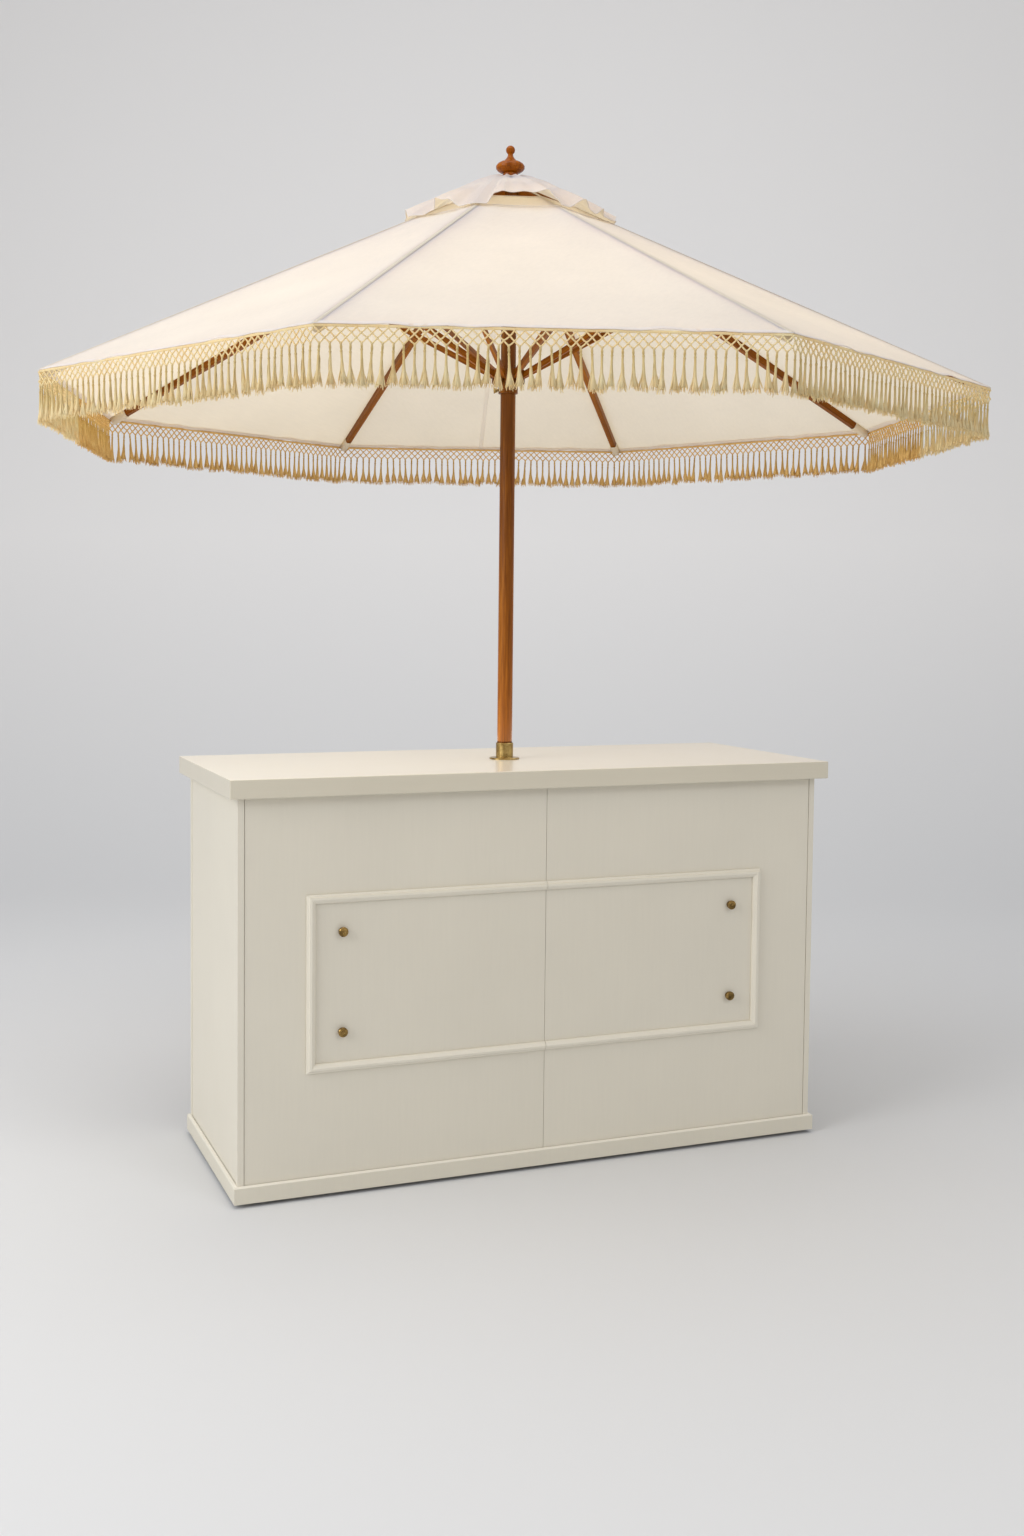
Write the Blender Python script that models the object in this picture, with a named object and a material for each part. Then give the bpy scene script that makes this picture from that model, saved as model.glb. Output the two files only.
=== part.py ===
"""Portable bar with a fringed, vented parasol.

Frame: metres, +Z up, origin on the floor under the pole, the bar's front faces -Y.
The carcass is the fixed body. The countertop lifts off, the pole lifts out of its socket,
the parasol turns on the lower pole, and the runner folds the ribs, struts and fringe.
"""

import math

import bmesh
import bpy

# Bar
BAR_WIDTH = 1.710
BAR_DEPTH = 0.660
BAR_HEIGHT = 1.070
TOP_THICKNESS = 0.048
TOP_EASE = 0.0022
OVERHANG_FRONT = 0.030
OVERHANG_SIDE = 0.026
OVERHANG_BACK = 0.030
SIDE_THICKNESS = 0.016
FRONT_THICKNESS = 0.018
FRONT_RECESS = 0.0015
STILE_WIDTH = 0.018
STILE_RELIEF = 0.0015
PANEL_GROOVE = 0.0015
SEAM_GROOVE = 0.0012
BATTEN_WIDTH = 0.080
BATTEN_THICKNESS = 0.020
DECK_THICKNESS = 0.018
SHELF_HEIGHT = 0.520
SHELF_THICKNESS = 0.018
SHELF_INSET = 0.030
SHELF_HOLE_RADIUS = 0.026
LEDGE_SIZE = 0.016
RAIL_HEIGHT = 0.080
RAIL_THICKNESS = 0.018
LOCATOR_WIDTH = 0.022
LOCATOR_DROP = 0.020
LOCATOR_CLEARANCE = 0.003

# Base
FLOOR_GAP = 0.010
PANEL_LIFT = 0.0015
PLINTH_HEIGHT = 0.043
PLINTH_PROUD = 0.010
PLINTH_CHAMFER = 0.003
FOOT_WIDTH = 0.060
FOOT_INSET = 0.229
FOOT_SETBACK = 0.040

# Front moulding and sign fixings
MOULDING_HALF_WIDTH = 0.655
MOULDING_TOP = 0.772
MOULDING_BOTTOM = 0.319
MOULDING_FACE = 0.023
MOULDING_DEPTH = 0.012
FIXING_X = 0.561
FIXING_TOP = 0.675
FIXING_BOTTOM = 0.419
FIXING_BARREL_RADIUS = 0.0105
FIXING_HEAD_RADIUS = 0.0125
FIXING_DISH_RADIUS = 0.0050
FIXING_DISH_DEPTH = 0.0025
FIXING_LENGTH = 0.014
FIXING_HEAD_LENGTH = 0.007
FIXING_EASE = 0.0016

# Turns of the moulding's bead, inwards from its outer edge: share of its face, share of its depth
BEAD_TURNS = ((0.0, 0.0), (0.0, 0.45), (0.22, 0.62), (0.30, 0.92),
              (0.55, 1.0), (0.85, 0.70), (1.0, 0.45), (1.0, 0.0))

# Pole and its seats
POLE_RADIUS = 0.021
POLE_EASE = 0.002
SPIGOT_RADIUS = 0.0184
FERRULE_BORE = 0.0190
FERRULE_BOTTOM = 0.860
FERRULE_TOP = 0.980
POLE_SPLIT = 0.920
SOCKET_TOP = 0.120
SOCKET_RADIUS = 0.032
SOCKET_FLANGE_RADIUS = 0.055
SOCKET_FLANGE_THICKNESS = 0.008
SOCKET_FLOOR = 0.005
SLIDING_FIT = 0.0008
COLLAR_RADIUS = 0.0243
COLLAR_HEIGHT = 0.046
COLLAR_FLANGE_RADIUS = 0.042
COLLAR_FLANGE_THICKNESS = 0.004
COLLAR_EASE = 0.0012

# Parasol
RIB_COUNT = 8
RIB_PHASE_DEG = 4.7
CANOPY_RADIUS = 1.280
REST_SLOPE_DEG = 25.8
CLOSED_SLOPE_DEG = 86.5
HUB_PIVOT_RADIUS = 0.036
HUB_PIVOT_Z = 2.646
HUB_RADIUS = 0.050
HUB_BELOW_PIVOT = 0.026
HUB_ABOVE_PIVOT = 0.022
HUB_EASE = 0.004
POLE_ABOVE_PIVOT = 0.0355
RIB_WIDTH = 0.018
RIB_DEPTH = 0.024
RIB_TIP_DEPTH = 0.018
RIB_TIP_WIDTH = 0.0144
RIB_TIP_TAPER = 0.012
RIB_TIP_INSET = 0.018
RIB_NECK_LENGTH = 0.012
RIB_NECK_WIDTH = 0.0108
RIB_NECK_DEPTH = 0.018
TANG_THICKNESS = 0.008
TANG_LENGTH = 0.042
TANG_RADIUS = 0.007
TANG_ROOT = 0.006
RIB_EYE_RADIUS = 0.0028
HUB_PIN_RADIUS = 0.0022
PIN_SEAT = 0.0025
HANGER_ROOT = 0.004
STRUT_REACH = 0.540
STRUT_DROP = 0.022
STRUT_THICKNESS = 0.009
STRUT_DEPTH = 0.016
STRUT_EYE_RADIUS = 0.0030
STRUT_PIN_RADIUS = 0.0024
SLOT_CLEARANCE = 0.0004
RUNNER_RADIUS = 0.046
RUNNER_HALF_HEIGHT = 0.020
RUNNER_EASE = 0.003
SLEEVE_RADIUS = 0.0270
SLEEVE_LENGTH = 0.026
KNOB_STEM_RADIUS = 0.0030
KNOB_BOSS_RADIUS = 0.0056
KNOB_BOSS_LENGTH = 0.0040
KNOB_WING_RADIUS = 0.0080
KNOB_WING_ROOT = 0.0048
KNOB_WING_THICKNESS = 0.0030
KNOB_START = 0.0400
KNOB_LENGTH = 0.0120

# Canopy, vent cap and fringe
CLOTH_THICKNESS = 0.0015
VENT_HOLE_RADIUS = 0.236
CAP_RADIUS = 0.284
CAP_INNER_RADIUS = 0.040
CAP_RISE = 0.030
CAP_HEM_RISE = 0.012
CAP_PEAK_SHARE = 0.5
CAP_RUFFLE = 0.028
CAP_RUFFLE_AT_RIB = 0.010
PANEL_SAG = 0.012
TAB_THICKNESS = 0.006
TAB_LENGTH = 0.022
TAB_SETBACK = 0.004
TAB_RISE = 0.001
TAB_SLANT = 0.004
POCKET_WIDTH = 0.024
POCKET_LENGTH = 0.040
POCKET_WALL = 0.0020
CROWN_RADIUS = 0.038
CROWN_THICKNESS = 0.0016
CROWN_FALL = 0.0040
FRINGE_DROP = 0.126
FRINGE_TAPE = 0.009
FRINGE_NET = 0.038
FRINGE_THICKNESS = 0.003
FRINGE_CORD = 0.0035
NET_GAP_SHARE = 0.62
TASSEL_TOP_WIDTH = 0.0065
TASSEL_END_WIDTH = 0.022
TASSEL_UNEVENNESS = 0.006
TASSEL_PAIRS_PER_HALF = 7

# Finial: height above its base and radius of each turn
FINIAL_BASE_HEIGHT = 0.0100
FINIAL_BODY_RADIUS = 0.0403
FINIAL_BODY_HALF_HEIGHT = 0.0190
FINIAL_BODY_RISE = 0.0275
FINIAL_NECK_RADIUS = 0.0070
FINIAL_NECK_RISE = 0.0635
FINIAL_NECK_FLARE = 0.0150
FINIAL_BALL_RADIUS = 0.0127
FINIAL_BALL_SEAT = 0.0108
FINIAL_FOOT_CHAMFER = 0.0020

# Turns of the finial's neck, downwards from its ball: share of the flare's height, times the neck's radius
NECK_TURNS = ((0.0, 1.0), (0.35, 1.1), (0.75, 1.6))
BALL_TURNS_DEG = (66, 42, 18, -6, -30, -54)
BODY_TURNS_DEG = (62, 44, 26, 8, -10, -28, -46)

GAP = 0.0003
ROUND = 32

# The six sides of a box whose corners are listed by X, then Y, then Z
BOX_SIDES = ((0, 1, 3, 2), (4, 6, 7, 5), (0, 4, 5, 1), (2, 3, 7, 6), (0, 2, 6, 4), (1, 5, 7, 3))

# Places worked out from the sizes above
TOP_UNDERSIDE = BAR_HEIGHT - TOP_THICKNESS
SIDE_X = BAR_WIDTH / 2 - OVERHANG_SIDE
FRONT_Y = -BAR_DEPTH / 2 + OVERHANG_FRONT
BACK_Y = BAR_DEPTH / 2 - OVERHANG_BACK
PANEL_BOTTOM = FLOOR_GAP + PANEL_LIFT
PANEL_TOP = TOP_UNDERSIDE - GAP
DECK_TOP = PANEL_BOTTOM + DECK_THICKNESS
PANEL_FACE_Y = FRONT_Y + FRONT_RECESS
PANEL_BACK_Y = PANEL_FACE_Y + FRONT_THICKNESS
INNER_X = SIDE_X - SIDE_THICKNESS - GAP
FOOT_X = SIDE_X - FOOT_INSET
REST_SLOPE = math.radians(REST_SLOPE_DEG)
CLOSED_SLOPE = math.radians(CLOSED_SLOPE_DEG)
HALF_PANEL = math.pi / RIB_COUNT
RIB_LENGTH = (CANOPY_RADIUS - RIB_TIP_INSET - HUB_PIVOT_RADIUS) / math.cos(REST_SLOPE)
DROP_ANGLE = math.asin(STRUT_DROP / STRUT_REACH)
REST_LINK = REST_SLOPE + DROP_ANGLE
CLOSED_LINK = CLOSED_SLOPE + DROP_ANGLE
RUNNER_Z = HUB_PIVOT_Z - 2 * STRUT_REACH * math.sin(REST_LINK)
RUNNER_TRAVEL = 2 * STRUT_REACH * (math.sin(CLOSED_LINK) - math.sin(REST_LINK))
RIDGE_SLOPE = math.tan(REST_SLOPE)
ROOF_FALL = math.tan(HALF_PANEL) * math.sin(REST_SLOPE)
CLOTH_LIFT = RIB_DEPTH / 2 + GAP
HEM_DROP = (CANOPY_RADIUS - HUB_PIVOT_RADIUS) * RIDGE_SLOPE - CLOTH_LIFT / math.cos(REST_SLOPE)
HEM_Z = HUB_PIVOT_Z - HEM_DROP
SLOT_WIDTH = STRUT_THICKNESS + 2 * SLOT_CLEARANCE
POLE_BORE = POLE_RADIUS + SLIDING_FIT
POLE_TOP = HUB_PIVOT_Z + POLE_ABOVE_PIVOT


def clear_scene():
    for obj in list(bpy.data.objects):
        bpy.data.objects.remove(obj, do_unlink=True)


def material(name, colour, roughness, metallic=0.0):
    made = bpy.data.materials.new(name)
    made.use_nodes = True
    shader = made.node_tree.nodes["Principled BSDF"]
    shader.inputs["Base Color"].default_value = (*colour, 1.0)
    shader.inputs["Roughness"].default_value = roughness
    shader.inputs["Metallic"].default_value = metallic
    made.diffuse_color = (*colour, 1.0)
    return made


def mesh_from(name, verts, faces, smooth=False):
    """A mesh with its faces turned outwards."""
    mesh = bpy.data.meshes.new(name)
    mesh.from_pydata(verts, [], faces)
    work = bmesh.new()
    work.from_mesh(mesh)
    bmesh.ops.recalc_face_normals(work, faces=work.faces)
    work.to_mesh(mesh)
    work.free()
    if smooth:
        mesh.shade_smooth()
        mesh.set_sharp_from_angle(angle=math.radians(35))
    return mesh


def place(name, mesh, finish, location=(0, 0, 0), turn=0.0):
    obj = bpy.data.objects.new(name, mesh)
    bpy.context.scene.collection.objects.link(obj)
    if finish and not mesh.materials:
        mesh.materials.append(finish)
    obj.location = location
    obj.rotation_euler = (0, 0, turn)
    return obj


def helper(mesh):
    """A cutter or a shape to be joined, which isn't a node itself."""
    obj = bpy.data.objects.new("helper_" + mesh.name, mesh)
    bpy.context.scene.collection.objects.link(obj)
    obj.hide_render = True
    obj.display_type = "WIRE"
    return obj


def combine(obj, mesh, operation):
    step = obj.modifiers.new(operation.lower(), "BOOLEAN")
    step.operation = operation
    step.solver = "EXACT"
    step.object = helper(mesh)


def settled(obj):
    """The object's mesh with its modifiers applied, for use by several objects."""
    graph = bpy.context.evaluated_depsgraph_get()
    mesh = bpy.data.meshes.new_from_object(obj.evaluated_get(graph))
    for step in list(obj.modifiers):
        bpy.data.objects.remove(step.object, do_unlink=True)
    bpy.data.objects.remove(obj, do_unlink=True)
    return mesh


def box_mesh(name, low, high):
    verts = [(x, y, z) for x in (low[0], high[0]) for y in (low[1], high[1]) for z in (low[2], high[2])]
    return mesh_from(name, verts, BOX_SIDES)


def prism_mesh(name, outline, y_low, y_high):
    """An outline in X and Z, given thickness along Y."""
    count = len(outline)
    verts = [(x, y_low, z) for x, z in outline] + [(x, y_high, z) for x, z in outline]
    sides = [(i, (i + 1) % count, (i + 1) % count + count, i + count) for i in range(count)]
    return mesh_from(name, verts, sides + [tuple(range(count)), tuple(range(count, 2 * count))])


def loft_mesh(name, sections):
    """Closed skin through sections that have the same number of points."""
    count = len(sections[0])
    verts = [point for section in sections for point in section]
    faces = [tuple(range(count)), tuple(range(len(verts) - count, len(verts)))]
    for ring in range(len(sections) - 1):
        base = ring * count
        for i in range(count):
            after = (i + 1) % count
            faces.append((base + i, base + after, base + after + count, base + i + count))
    return mesh_from(name, verts, faces)


def turned_mesh(name, profile, sides=ROUND, axis="Z"):
    """A profile of (radius, height) turned about an axis. Radius 0 closes an end, otherwise it is a ring."""
    closed = profile[0][0] > 0
    rings, verts, faces = [], [], []
    for radius, height in profile:
        if radius == 0:
            rings.append([len(verts)])
            verts.append((0.0, 0.0, height))
            continue
        rings.append(list(range(len(verts), len(verts) + sides)))
        for i in range(sides):
            angle = 2 * math.pi * i / sides
            verts.append((radius * math.cos(angle), radius * math.sin(angle), height))
    pairs = list(zip(rings, rings[1:]))
    if closed:
        pairs.append((rings[-1], rings[0]))
    for a, b in pairs:
        for i in range(sides):
            after = (i + 1) % sides
            if len(a) == 1:
                faces.append((a[0], b[i], b[after]))
            elif len(b) == 1:
                faces.append((a[i], a[after], b[0]))
            else:
                faces.append((a[i], a[after], b[after], b[i]))
    if axis == "X":
        verts = [(z, x, y) for x, y, z in verts]
    if axis == "Y":
        verts = [(y, z, x) for x, y, z in verts]
    return mesh_from(name, verts, faces, smooth=True)


def peg_mesh(name, radius, centre, y_low, y_high, sides=10):
    """A round peg along Y, centred at X and Z."""
    outline = [
        (centre[0] + radius * math.cos(2 * math.pi * (i + 0.5) / sides),
         centre[1] + radius * math.sin(2 * math.pi * (i + 0.5) / sides))
        for i in range(sides)
    ]
    return prism_mesh(name, outline, y_low, y_high)


def arc(centre, radius, start, end, steps):
    return [
        (centre[0] + radius * math.cos(start + (end - start) * i / steps),
         centre[1] + radius * math.sin(start + (end - start) * i / steps))
        for i in range(steps + 1)
    ]


def board(name, finish, low, high, ease=0.0):
    obj = place(name, box_mesh(name, low, high), finish)
    if ease:
        rounding = obj.modifiers.new("eased edges", "BEVEL")
        rounding.width = ease
        rounding.segments = 2
        rounding.limit_method = "ANGLE"
    return obj


def span(a, b):
    return min(a, b), max(a, b)


def side_panel(finish, side, name):
    """A side with raised stiles at its two edges and a ledge inside for the shelf."""
    low_x, high_x = span(side * SIDE_X, side * (SIDE_X - SIDE_THICKNESS))
    blank = box_mesh(name, (low_x, FRONT_Y, PANEL_BOTTOM), (high_x, BACK_Y, PANEL_TOP))
    obj = place(name, blank, finish)
    low_x, high_x = span(side * (SIDE_X - STILE_RELIEF), side * (SIDE_X + STILE_RELIEF))
    field = box_mesh(name + "_field", (low_x, FRONT_Y + STILE_WIDTH, PANEL_BOTTOM - GAP),
                     (high_x, BACK_Y - STILE_WIDTH, PANEL_TOP + GAP))
    combine(obj, field, "DIFFERENCE")
    low_x, high_x = span(side * (SIDE_X - SIDE_THICKNESS - LEDGE_SIZE), side * (SIDE_X - SIDE_THICKNESS / 2))
    ledge_top = SHELF_HEIGHT - SHELF_THICKNESS - GAP
    ledge = box_mesh(name + "_ledge", (low_x, PANEL_BACK_Y + SHELF_INSET, ledge_top - LEDGE_SIZE),
                     (high_x, BACK_Y - SHELF_INSET, ledge_top))
    combine(obj, ledge, "UNION")


def carcass(paint):
    side_panel(paint, -1, "side_panel_left")
    side_panel(paint, 1, "side_panel_right")
    for side, name in ((-1, "front_panel_left"), (1, "front_panel_right")):
        low_x, high_x = span(side * (SIDE_X - SIDE_THICKNESS - PANEL_GROOVE), side * SEAM_GROOVE / 2)
        board(name, paint, (low_x, PANEL_FACE_Y, PANEL_BOTTOM), (high_x, PANEL_BACK_Y, PANEL_TOP))
    batten_front = PANEL_BACK_Y + GAP
    batten_back = batten_front + BATTEN_THICKNESS
    board("seam_batten", paint, (-BATTEN_WIDTH / 2, batten_front, DECK_TOP + GAP),
          (BATTEN_WIDTH / 2, batten_back, PANEL_TOP))
    board("base_deck", paint, (-INNER_X, PANEL_BACK_Y + GAP, PANEL_BOTTOM), (INNER_X, BACK_Y, DECK_TOP))
    shelf_low = SHELF_HEIGHT - SHELF_THICKNESS
    shelf = board("shelf", paint, (-INNER_X, batten_back + GAP, shelf_low),
                  (INNER_X, BACK_Y - SHELF_INSET, SHELF_HEIGHT))
    hole = [(0, SHELF_HEIGHT + GAP), (SHELF_HOLE_RADIUS, SHELF_HEIGHT + GAP),
            (SHELF_HOLE_RADIUS, shelf_low - GAP), (0, shelf_low - GAP)]
    combine(shelf, turned_mesh("shelf_hole", hole), "DIFFERENCE")
    board("rear_rail", paint, (-INNER_X, BACK_Y - RAIL_THICKNESS, PANEL_TOP - RAIL_HEIGHT),
          (INNER_X, BACK_Y, PANEL_TOP))


def plinth(paint):
    """A chamfered skirting mitred round the front and both sides."""
    top = FLOOR_GAP + PLINTH_HEIGHT
    profile = [(GAP, FLOOR_GAP), (PLINTH_PROUD, FLOOR_GAP), (PLINTH_PROUD, top - PLINTH_CHAMFER),
               (PLINTH_PROUD - PLINTH_CHAMFER, top), (GAP, top)]
    sections = []
    for x_way, y_way in ((-1, 1), (-1, -1), (1, -1), (1, 1)):
        section = []
        for proud, z in profile:
            y = BACK_Y if y_way > 0 else FRONT_Y - proud
            section.append((x_way * (SIDE_X + proud), y, z))
        sections.append(section)
    place("plinth", loft_mesh("plinth", sections), paint)


def feet(timber):
    for side, name in ((-1, "foot_rail_left"), (1, "foot_rail_right")):
        middle = side * FOOT_X
        board(name, timber, (middle - FOOT_WIDTH / 2, FRONT_Y + FOOT_SETBACK, 0.0),
              (middle + FOOT_WIDTH / 2, BACK_Y - FOOT_SETBACK, PANEL_BOTTOM - GAP))


def moulding(paint):
    """A raised picture-frame bead in two halves, mitred at its corners and split at the seam."""
    ends = ((False, MOULDING_TOP, -1), (True, MOULDING_TOP, -1), (True, MOULDING_BOTTOM, 1),
            (False, MOULDING_BOTTOM, 1))
    for side, name in ((-1, "moulding_left"), (1, "moulding_right")):
        sections = []
        for mitred, z, inwards in ends:
            section = []
            for across, proud in BEAD_TURNS:
                inset = across * MOULDING_FACE
                x = MOULDING_HALF_WIDTH - inset if mitred else SEAM_GROOVE / 2
                y = PANEL_FACE_Y - GAP - proud * MOULDING_DEPTH
                section.append((side * x, y, z + inwards * inset))
            sections.append(section)
        place(name, loft_mesh(name, sections), paint)


def sign_fixings(brass):
    """Four stand-off fixings: a barrel, a groove and a wider dished head."""
    tip = FIXING_LENGTH
    neck = tip - FIXING_HEAD_LENGTH
    profile = [(0, 0.0), (FIXING_BARREL_RADIUS, 0.0), (FIXING_BARREL_RADIUS, neck - FIXING_EASE),
               (FIXING_BARREL_RADIUS - FIXING_EASE, neck - FIXING_EASE / 2), (FIXING_HEAD_RADIUS, neck),
               (FIXING_HEAD_RADIUS, tip - FIXING_EASE), (FIXING_HEAD_RADIUS - FIXING_EASE, tip),
               (FIXING_DISH_RADIUS, tip - FIXING_DISH_DEPTH / 2),
               (FIXING_DISH_RADIUS - FIXING_EASE, tip - FIXING_DISH_DEPTH), (0, tip - FIXING_DISH_DEPTH)]
    mesh = turned_mesh("sign_fixing", [(r, -h) for r, h in profile], sides=16, axis="Y")
    for x_way, x_name in ((-1, "left"), (1, "right")):
        for z, z_name in ((FIXING_TOP, "top"), (FIXING_BOTTOM, "bottom")):
            place("standoff_" + z_name + "_" + x_name, mesh, brass,
                  (x_way * FIXING_X, PANEL_FACE_Y - GAP, z))


def countertop(paint):
    """The slab, with two locating cleats that drop inside the sides, and the pole's hole."""
    low = (-BAR_WIDTH / 2, -BAR_DEPTH / 2, TOP_UNDERSIDE)
    high = (BAR_WIDTH / 2, BAR_DEPTH / 2, BAR_HEIGHT)
    obj = board("countertop", paint, low, high, TOP_EASE)
    reach = INNER_X - LOCATOR_CLEARANCE
    for side in (-1, 1):
        low_x, high_x = span(side * reach, side * (reach - LOCATOR_WIDTH))
        front = PANEL_BACK_Y + LOCATOR_CLEARANCE
        back = BACK_Y - RAIL_THICKNESS - LOCATOR_CLEARANCE
        cleat = box_mesh("cleat", (low_x, front, TOP_UNDERSIDE - LOCATOR_DROP),
                         (high_x, back, TOP_UNDERSIDE + LOCATOR_CLEARANCE))
        combine(obj, cleat, "UNION")
    radius = COLLAR_RADIUS + GAP
    hole = [(0, BAR_HEIGHT + radius), (radius, BAR_HEIGHT + radius), (radius, TOP_UNDERSIDE - radius),
            (0, TOP_UNDERSIDE - radius)]
    combine(obj, turned_mesh("pole_hole", hole), "DIFFERENCE")


def collar(brass):
    """A flanged brass bushing that guides the pole through the slab."""
    flange_low = BAR_HEIGHT + GAP
    flange_high = flange_low + COLLAR_FLANGE_THICKNESS
    top = BAR_HEIGHT + COLLAR_HEIGHT
    ease = COLLAR_EASE
    profile = [(POLE_BORE, top), (COLLAR_RADIUS - ease, top), (COLLAR_RADIUS, top - ease),
               (COLLAR_RADIUS, flange_high + ease), (COLLAR_RADIUS + ease, flange_high),
               (COLLAR_FLANGE_RADIUS - ease, flange_high), (COLLAR_FLANGE_RADIUS, flange_high - ease),
               (COLLAR_FLANGE_RADIUS, flange_low), (COLLAR_RADIUS - GAP, flange_low),
               (COLLAR_RADIUS - GAP, TOP_UNDERSIDE), (POLE_BORE, TOP_UNDERSIDE)]
    place("pole_collar", turned_mesh("pole_collar", profile), brass)


def socket(timber):
    """The cup on the deck that the pole stands in."""
    base = DECK_TOP + GAP
    shoulder = base + SOCKET_FLANGE_THICKNESS
    profile = [(0, base + SOCKET_FLOOR), (POLE_BORE, base + SOCKET_FLOOR), (POLE_BORE, SOCKET_TOP),
               (SOCKET_RADIUS, SOCKET_TOP), (SOCKET_RADIUS, shoulder), (SOCKET_FLANGE_RADIUS, shoulder),
               (SOCKET_FLANGE_RADIUS, base), (0, base)]
    place("pole_socket", turned_mesh("pole_socket", profile), timber)


def pole(timber, brass):
    """Two lengths of pole joined by a ferrule, with a spigot on each inside it."""
    foot = DECK_TOP + SOCKET_FLOOR + 2 * GAP
    lower_shoulder = FERRULE_BOTTOM - GAP
    lower = [(0, POLE_SPLIT - GAP), (SPIGOT_RADIUS, POLE_SPLIT - GAP), (SPIGOT_RADIUS, lower_shoulder),
             (POLE_RADIUS, lower_shoulder), (POLE_RADIUS, foot + POLE_EASE), (POLE_RADIUS - POLE_EASE, foot),
             (0, foot)]
    place("lower_pole", turned_mesh("lower_pole", lower), timber)
    ferrule = [(FERRULE_BORE, FERRULE_TOP), (POLE_RADIUS, FERRULE_TOP), (POLE_RADIUS, FERRULE_BOTTOM),
               (FERRULE_BORE, FERRULE_BOTTOM)]
    place("pole_ferrule", turned_mesh("pole_ferrule", ferrule), brass)
    upper_shoulder = FERRULE_TOP + GAP
    upper = [(0, POLE_TOP), (POLE_RADIUS, POLE_TOP), (POLE_RADIUS, upper_shoulder),
             (SPIGOT_RADIUS, upper_shoulder), (SPIGOT_RADIUS, POLE_SPLIT), (0, POLE_SPLIT)]
    place("upper_pole", turned_mesh("upper_pole", upper), timber)


def finial_profile(base):
    """Heights and radii from the ball's top down to the foot: ball, flared neck, round body and foot ring."""
    body = base + FINIAL_BODY_RISE
    neck = base + FINIAL_NECK_RISE
    ball = neck + FINIAL_BALL_SEAT
    points = [(0, ball + FINIAL_BALL_RADIUS)]
    for degrees in BALL_TURNS_DEG:
        angle = math.radians(degrees)
        points.append((FINIAL_BALL_RADIUS * math.cos(angle), ball + FINIAL_BALL_RADIUS * math.sin(angle)))
    for fall, times in NECK_TURNS:
        points.append((FINIAL_NECK_RADIUS * times, neck - FINIAL_NECK_FLARE * fall))
    for degrees in BODY_TURNS_DEG:
        angle = math.radians(degrees)
        points.append((FINIAL_BODY_RADIUS * math.cos(angle), body + FINIAL_BODY_HALF_HEIGHT * math.sin(angle)))
    foot_top = base + FINIAL_BASE_HEIGHT
    chamfer = FINIAL_FOOT_CHAMFER
    points += [(POLE_RADIUS - chamfer, foot_top + chamfer / 2), (POLE_RADIUS, foot_top - chamfer / 2),
               (POLE_RADIUS, base), (0, base)]
    return points


def finial(timber):
    crown_top = POLE_TOP + GAP + CROWN_THICKNESS
    place("finial", turned_mesh("finial", finial_profile(crown_top + GAP), sides=24), timber)


def crown(cloth):
    """The stitched patch clamped between the pole's end and the finial."""
    top = POLE_TOP + GAP + CROWN_THICKNESS
    edge = top - CROWN_FALL
    profile = [(0, top), (POLE_RADIUS + GAP, top), (CROWN_RADIUS, edge), (CROWN_RADIUS, edge - CROWN_THICKNESS),
               (POLE_RADIUS + GAP, top - CROWN_THICKNESS), (0, top - CROWN_THICKNESS)]
    place("canopy_crown", turned_mesh("canopy_crown", profile, sides=16), cloth)


def rib_angle(k):
    return math.radians(RIB_PHASE_DEG) + 2 * math.pi * k / RIB_COUNT


def turned_point(x, y, z, angle):
    return (x * math.cos(angle) - y * math.sin(angle), x * math.sin(angle) + y * math.cos(angle), z)


def radial_boxes(name, inner, outer, width, z_low, z_high):
    """One box for each rib, standing apart round the pole."""
    verts, faces = [], []
    for k in range(RIB_COUNT):
        start = len(verts)
        corners = [(x, y, z) for x in (inner, outer) for y in (-width / 2, width / 2) for z in (z_low, z_high)]
        verts += [turned_point(*corner, rib_angle(k)) for corner in corners]
        faces += [tuple(start + i for i in side) for side in BOX_SIDES]
    return mesh_from(name, verts, faces)


def radial_pegs(name, radius, ring_radius, length, z, sides=8):
    """One pin across each slot, tangent to the ring of pivots."""
    verts, faces = [], []
    for k in range(RIB_COUNT):
        start = len(verts)
        for y in (-length / 2, length / 2):
            for i in range(sides):
                turn = 2 * math.pi * (i + 0.5) / sides
                point = (ring_radius + radius * math.cos(turn), y, z + radius * math.sin(turn))
                verts.append(turned_point(*point, rib_angle(k)))
        faces += [tuple(start + i for i in range(sides)), tuple(start + sides + i for i in range(sides))]
        for i in range(sides):
            after = (i + 1) % sides
            faces.append((start + i, start + after, start + sides + after, start + sides + i))
    return mesh_from(name, verts, faces)


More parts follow.
